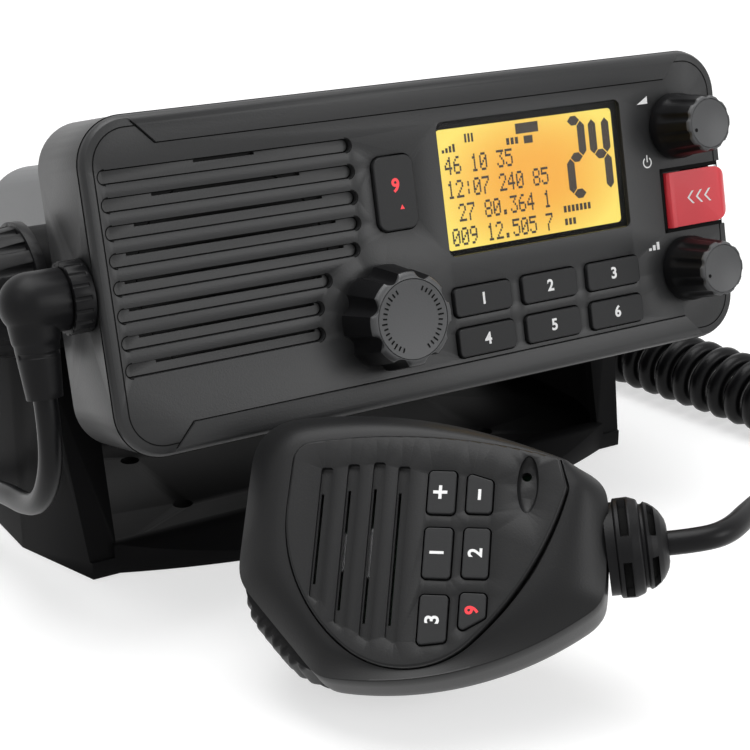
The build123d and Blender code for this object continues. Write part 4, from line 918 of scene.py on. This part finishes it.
# The black rubber seal that lines the cover's recess above and below it and at its left end.
SEAL_LEFT, SEAL_LONG, SEAL_THICK, SEAL_DEEP = 61.3, 17.5, 0.86, 8.4
SEAL_LOW, SEAL_HIGH, SEAL_TALL, SEAL_RISE = 26.22, 40.42, 15.06, 8.5
CORNER_LEFT, CORNER_WIDE, CORNER_TALL, CORNER_RISE = 74.5, 4.2, 2.5, 5.6
seal_bars = [bar(SEAL_LEFT, z, SEAL_LONG, SEAL_THICK) for z in (SEAL_LOW, SEAL_HIGH)]
seal_bars.append(bar(SEAL_LEFT - 0.05, SEAL_LOW, 0.75, SEAL_TALL))
seal_place = RADIO @ Matrix.Translation((0, SEAL_DEEP, 0)) @ FACE
inlay("cover_seal", seal_bars, seal_place, flat_black_and_painted_shade, "radio", SEAL_RISE)
seal_corners = [bar(CORNER_LEFT, z, CORNER_WIDE, CORNER_TALL) for z in (38.6, 26.4)]
inlay("cover_seal_corners", seal_corners, seal_place, flat_black_and_painted_shade, "radio", CORNER_RISE)
dress("distress_pin", steel)
dress("distress_spring", steel)

ARROW_PITCH, ARROW_STROKE, ARROW_HALF = 2.6, 0.6, 1.5
chevrons = []
for start in (-ARROW_PITCH, 0.0, ARROW_PITCH):
    tip = start + ARROW_HALF
    chevrons.append([
        (start, 0), (tip, ARROW_HALF), (tip + ARROW_STROKE, ARROW_HALF), (start + ARROW_STROKE, 0),
        (tip + ARROW_STROKE, -ARROW_HALF), (tip, -ARROW_HALF),
    ])
sign_place = on_face(70.6, 33.75, 1.0)
inlay("print_cover", chevrons, sign_place, print_white, "distress_cover")

# ------------------------
# Microphone socket and plug: a plated socket in the left wall, and a right-angled rubber plug
# held by a fluted ring.
dress("mic_socket", bright_plate)
dress("mic_plug", knob_rubber, soft=0.3)
dress("mic_plug_ring", knob_rubber, soft=0.15)

# ------------------------
# Fist microphone: two ABS shells screwed together, with a separate face plate that carries the
# sound slots and the keys, a ribbed talk bar along one edge and a rubber boot for the cord.
HAND_CENTRE = (-3.0, 3.5)
OUTLINE_STEPS = 240
SEAM = -7.0


def edge_distance(node, depth, reach=70.0):
    """How far a node's outside is from the microphone's centre line, all round, at one depth."""
    solid = frame["nodes"][node]
    distances = []
    for step in range(OUTLINE_STEPS):
        angle = 2 * math.pi * step / OUTLINE_STEPS
        out = Vector((math.cos(angle), math.sin(angle), 0))
        centre = Vector((*HAND_CENTRE, depth))
        start = HANDSET @ (centre + out * reach)
        inward = (HANDSET @ centre - start).normalized()
        hit, place, _, _ = solid.ray_cast(start, inward)
        distances.append((HANDSET.inverted() @ place - centre).length if hit else distances[-1])
    return distances


def rounded_corners(distances, passes):
    """The same outline with its corners eased."""
    for _ in range(passes):
        count = len(distances)
        distances = [
            (distances[i - 1] + 2 * distances[i] + distances[(i + 1) % count]) / 4 for i in range(count)
        ]
    return distances


def hand_ring(distances, depth):
    """Points round the microphone at one depth."""
    ring = []
    for step, distance in enumerate(distances):
        angle = 2 * math.pi * step / OUTLINE_STEPS
        x = HAND_CENTRE[0] + distance * math.cos(angle)
        y = HAND_CENTRE[1] + distance * math.sin(angle)
        ring.append(Vector((x, y, depth)))
    return ring


def ring_skin(name, rings, cap):
    """A skin over rings of points, closed at its far end where it is capped."""
    points = [HANDSET @ point for ring in rings for point in ring]
    faces = []
    count = OUTLINE_STEPS
    for ring in range(len(rings) - 1):
        for step in range(count):
            after = (step + 1) % count
            low, high = ring * count, (ring + 1) * count
            faces.append((low + step, low + after, high + after, high + step))
    if cap:
        faces.append([(len(rings) - 1) * count + step for step in range(count)])
    mesh = bpy.data.meshes.new(name)
    mesh.from_pydata(points, [], faces)
    return mesh


body_edge = rounded_corners(edge_distance("handset_rear", SEAM - 0.8), 6)
plate_edge = edge_distance("handset_face", -1.6)


def between(low, high, share):
    """The outline that lies a share of the way from one outline to another."""
    return [a + (b - a) * share for a, b in zip(low, high)]


def inset(distances, amount):
    """The outline drawn in by so many millimetres."""
    return [distance - amount for distance in distances]


def seam_lip(heights):
    """A shell's rounded lip at the seam, from inside the casing out to its side."""
    return [
        hand_ring(inset(body_edge, amount), SEAM + height)
        for amount, height in zip((0.9, 0.5, 0.12, 0.0), heights)
    ]


# The front shell runs up from the seam to the gap round the face plate, and down into the gap.
PLATE_GAP, WIDER_AT_CORD, CORD_SIDE = 0.12, 0.23, math.radians(25)
SIDE_TOP, DOME_RISE, DOME_POWER, DOME_REACH = 0.5, 5.1, 2.2, 0.97
GAP_TOP, GAP_FLOOR, GAP_LEDGE = -1.75, -3.2, 0.6
rings = seam_lip((0.0, 0.08, 0.25, SIDE_TOP))
plate_gap_edge = []
for step, distance in enumerate(plate_edge):
    angle = 2 * math.pi * step / OUTLINE_STEPS
    towards_cord = max(0.0, math.cos(angle + CORD_SIDE))
    plate_gap_edge.append(distance + PLATE_GAP + WIDER_AT_CORD * towards_cord)
for share in (0.08, 0.18, 0.3, 0.42, 0.55, 0.7, 0.85, 1.0):
    depth = SEAM + SIDE_TOP + DOME_RISE * (1 - (1 - share) ** DOME_POWER)
    rings.append(hand_ring(between(body_edge, plate_gap_edge, share * DOME_REACH), depth))
rings.append(hand_ring(plate_gap_edge, GAP_TOP))
rings.append(hand_ring(plate_gap_edge, GAP_FLOOR))
rings.append(hand_ring(inset(plate_edge, GAP_LEDGE), GAP_FLOOR))
hand_abs = moulded("hand_abs", (0.0105, 0.0106, 0.011), 0.38, grain=0.4, shine=0.16)
front_skin = ring_skin("handset_front_shell", rings, False)
front_shell = place_piece("handset_front_shell", front_skin, hand_abs, "handset")
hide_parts("handset_front")

SIDE_MIDDLE, SIDE_END, BACK, BACK_ROUND = -12.0, -17.0, -33.5, 12.0
rings = seam_lip((-0.02, -0.1, -0.27, -0.5))
rings.append(hand_ring(body_edge, SIDE_MIDDLE))
for share in (0.0, 0.12, 0.25, 0.38, 0.5, 0.62, 0.72, 0.81, 0.89, 0.95, 1.0):
    turn = share * math.pi / 2
    amount = BACK_ROUND * (1 - math.cos(turn))
    rings.append(hand_ring(inset(body_edge, amount), SIDE_END + (BACK - SIDE_END) * math.sin(turn)))
for share in (0.75, 0.5, 0.25, 0.08):
    inner = [distance * share for distance in inset(body_edge, BACK_ROUND)]
    rings.append(hand_ring(inner, BACK))
rear_skin = ring_skin("handset_rear_shell", rings, True)
rear_shell = place_piece("handset_rear_shell", rear_skin, hand_abs, "handset")
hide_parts("handset_rear")

dress("handset_face", hand_abs, soft=0.15)

# The rubber boot: two rows of four windows are let into it, with a narrow groove between them. A black
# core inside it fills the windows' floors with painted shade.
BOOT_PROFILE = (
    (-1.9, 8.8), (-0.1, 8.8), (0.0, 9.3), (0.2, 9.45), (2.8, 9.5), (4.35, 8.9), (4.6, 8.6),
    (4.8, 7.9), (5.3, 7.9), (5.5, 8.1), (5.7, 8.3), (6.6, 7.9), (7.6, 7.15), (8.4, 6.3),
    (9.0, 5.3), (9.35, 4.6), (9.6, 3.6),
)
BOOT_ROWS, BOOT_SIDES, CORE_BELOW = 92, 144, 1.5
WINDOW_DEEP, WINDOW_HALF_ANGLE, WINDOW_TURN = 2.1, 29.0, 20.0
WINDOW_ROWS = ((1.7, 0.78), (6.85, 0.62))
WINDOW_SLOPE, WINDOW_SIDE_ANGLE, CORD_SLEEVE = 0.14, 3.0, 4.4


def boot_radius(x):
    """The boot's outside radius at a distance from its root."""
    for (start, first), (end, last) in zip(BOOT_PROFILE, BOOT_PROFILE[1:]):
        if x <= end:
            return first + (last - first) * (x - start) / (end - start)
    return BOOT_PROFILE[-1][1]


def window_depth(x, angle):
    """How far the boot's windows are let in at a distance and an angle round it."""
    off = abs((math.degrees(angle) - WINDOW_TURN) % 90 - 45)
    deepest = 0.0
    for middle, half in WINDOW_ROWS:
        inside = min(1.0, max(0.0, (half - abs(x - middle)) / WINDOW_SLOPE))
        inside *= min(1.0, max(0.0, (WINDOW_HALF_ANGLE - off) / WINDOW_SIDE_ANGLE))
        deepest = max(deepest, inside * min(WINDOW_DEEP, boot_radius(x) - CORD_SLEEVE))
    return deepest


boot_rows, shade_core_rows = [], []
for row in range(BOOT_ROWS + 1):
    x = BOOT_PROFILE[0][0] + (BOOT_LENGTH - BOOT_PROFILE[0][0]) * row / BOOT_ROWS
    ring, core_ring = [], []
    for step in range(BOOT_SIDES):
        angle = 2 * math.pi * step / BOOT_SIDES
        radius = boot_radius(x) - window_depth(x, angle)
        ring.append((x, radius * math.cos(angle), radius * math.sin(angle)))
        core = boot_radius(x) - CORE_BELOW
        core_ring.append((x, core * math.cos(angle), core * math.sin(angle)))
    boot_rows.append(ring)
    shade_core_rows.append(core_ring)
boot_skin = closed_skin("strain_relief_boot", boot_rows, HANDSET @ BOOT)
# A flat black core just under the boot's skin, showing through the windows as painted shade.
shade_core_skin = closed_skin("boot_window_shade_core", shade_core_rows[1:-1], HANDSET @ BOOT)
place_piece("boot_window_shade_core", shade_core_skin, flat_black_and_painted_shade, "handset")
boot = place_piece("strain_relief_boot", boot_skin, knob_rubber, "handset")
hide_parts("handset_strain_relief")

# The talk bar: a rubber pad bowed along the casing's corner, with teeth across it.
BAR_START, BAR_END = Vector((-37.1, -5.7, 0)), Vector((-21.3, -22.1, 0))
BAR_HALF, BAR_LOW, BAR_HIGH, BAR_INSIDE = 11.0, -23.0, -9.0, 3.5
BAR_BOW, BAR_FALL, BAR_END_FALL = 2.9, 3.7, 0.55
TOOTH_PITCH, TOOTH_DEEP = 2.45, 1.15
BAR_HALF_ROWS, BAR_STEPS = 76, 24
bar_along = (BAR_END - BAR_START).normalized()
bar_inward = Vector((-bar_along.y, bar_along.x, 0))
bar_turned = Matrix((bar_along, bar_inward, Vector((0, 0, 1)))).transposed().to_4x4()
BAR = HANDSET @ Matrix.Translation((BAR_START + BAR_END) / 2) @ bar_turned
bar_rows = []
for row in range(2 * BAR_HALF_ROWS + 1):
    x = BAR_HALF * (row / BAR_HALF_ROWS - 1)
    bow = BAR_BOW - BAR_FALL * abs(x / BAR_HALF) ** 4
    tooth = TOOTH_DEEP * (1 - abs(math.sin(math.pi * x / TOOTH_PITCH)) ** 0.8)
    outline = [(x, BAR_INSIDE, BAR_LOW)]
    for step in range(BAR_STEPS + 1):
        z = BAR_LOW + (BAR_HIGH - BAR_LOW) * step / BAR_STEPS
        fall = abs(2 * step / BAR_STEPS - 1) ** 9
        outline.append((x, -(bow - tooth * (1 - fall)) * (1 - BAR_END_FALL * fall), z))
    outline.append((x, BAR_INSIDE, BAR_HIGH))
    bar_rows.append(outline)
bar_skin = closed_skin("talk_bar", bar_rows, BAR)
talk_bar = place_piece("talk_bar", bar_skin, knob_rubber, "ptt_button")
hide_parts("ptt_button")
dress("handset_screws", steel)
dress("hangup_stud", bright_plate)
for name in frame["nodes"]:
    if name.startswith("hand_key_"):
        dress(name, key_silicone, soft=0.15)

HAND_KEY_PROUD = 0.52
hand_signs = {
    "hand_key_up": ("+", 1.5, 11.1, 3.8),
    "hand_key_middle": ("1", 1.5, -0.6, 2.6),
    "hand_key_scan": ("2", 8.6, -0.4, 2.6),
    "hand_key_power": ("3", 1.5, -13.2, 2.6),
    "hand_key_channel": ("9", 8.6, -11.2, 2.4),
}
for key, (sign, x, y, height) in hand_signs.items():
    place = HANDSET @ Matrix.Translation((x, y, HAND_KEY_PROUD)) @ Matrix.Rotation(math.pi / 2, 4, "Z")
    ink = red_print_and_painted_glow if key == "hand_key_channel" else print_white
    printed(f"print_{key}", sign, height, place, ink, key, weight=0.09)
minus_place = HANDSET @ Matrix.Translation((8.6, 10.8, HAND_KEY_PROUD))
minus = [bar(-0.28, -1.05, 0.56, 2.1)]
inlay("print_hand_key_down", minus, minus_place, print_white, "hand_key_down")

# ------------------------
# Table, room and lamps: a plain white table in a white room, lit by a broad soft lamp above and
# by weaker ones at the left and in front.
TABLE_HALF, TABLE_DROP = 4.0, 0.0003
table_mesh = bpy.data.meshes.new("table")
corners = [(TABLE_HALF * x, TABLE_HALF * y, 0) for x, y in ((-1, -1), (1, -1), (1, 1), (-1, 1))]
table_mesh.from_pydata(corners, [], [(0, 1, 2, 3)])
table = bpy.data.objects.new("table", table_mesh)
table.location.z = -TABLE_DROP
scene_pieces.link(table)


def by_ray(material, lighting, seen):
    """One value for diffuse light, and one for rays from the camera, mirrored or through glass."""
    nodes, links = material.node_tree.nodes, material.node_tree.links
    rays = nodes.new("ShaderNodeLightPath")
    factor = rays.outputs["Is Camera Ray"]
    for kind in ("Is Glossy Ray", "Is Transmission Ray"):
        either = nodes.new("ShaderNodeMath")
        either.operation = "MAXIMUM"
        links.new(factor, either.inputs[0])
        links.new(rays.outputs[kind], either.inputs[1])
        factor = either.outputs[0]
    spread = nodes.new("ShaderNodeMapRange")
    spread.inputs["To Min"].default_value = lighting
    spread.inputs["To Max"].default_value = seen
    links.new(factor, spread.inputs["Value"])
    return spread.outputs["Result"]


table_white = moulded("table_white", (0.45, 0.45, 0.45), 0.6, shine=0.2)
inputs_of(table_white)["Emission Color"].default_value = (1, 1, 1, 1)
glow = inputs_of(table_white)["Emission Strength"]
table_white.node_tree.links.new(by_ray(table_white, 0.0, 0.62), glow)
table_mesh.materials.append(table_white)

room = bpy.data.worlds.new("room")
bpy.context.scene.world = room
room.use_nodes = True
air = room.node_tree.nodes["Background"]
air.inputs["Color"].default_value = (1, 1, 1, 1)
room.node_tree.links.new(by_ray(room, 0.4, 1.0), air.inputs["Strength"])


def lamp(name, place, target, size, power):
    """A soft square lamp at a place, turned to its target."""
    data = bpy.data.lights.new(name, "AREA")
    data.size = size
    data.energy = power
    holder = bpy.data.objects.new(name, data)
    holder.location = place
    holder.rotation_euler = (Vector(target) - Vector(place)).to_track_quat("-Z", "Y").to_euler()
    scene_pieces.link(holder)


lamp("lamp_top", (-0.05, 0.05, 1.3), (0, -0.05, 0.05), 1.1, 19)
lamp("lamp_left", (-1.0, -0.5, 1.1), (0, -0.05, 0.05), 0.6, 2.0)
lamp("lamp_front", (0.5, -0.95, 0.45), (0, -0.06, 0.09), 0.5, 4)
bpy.context.scene.view_settings.view_transform = "Standard"
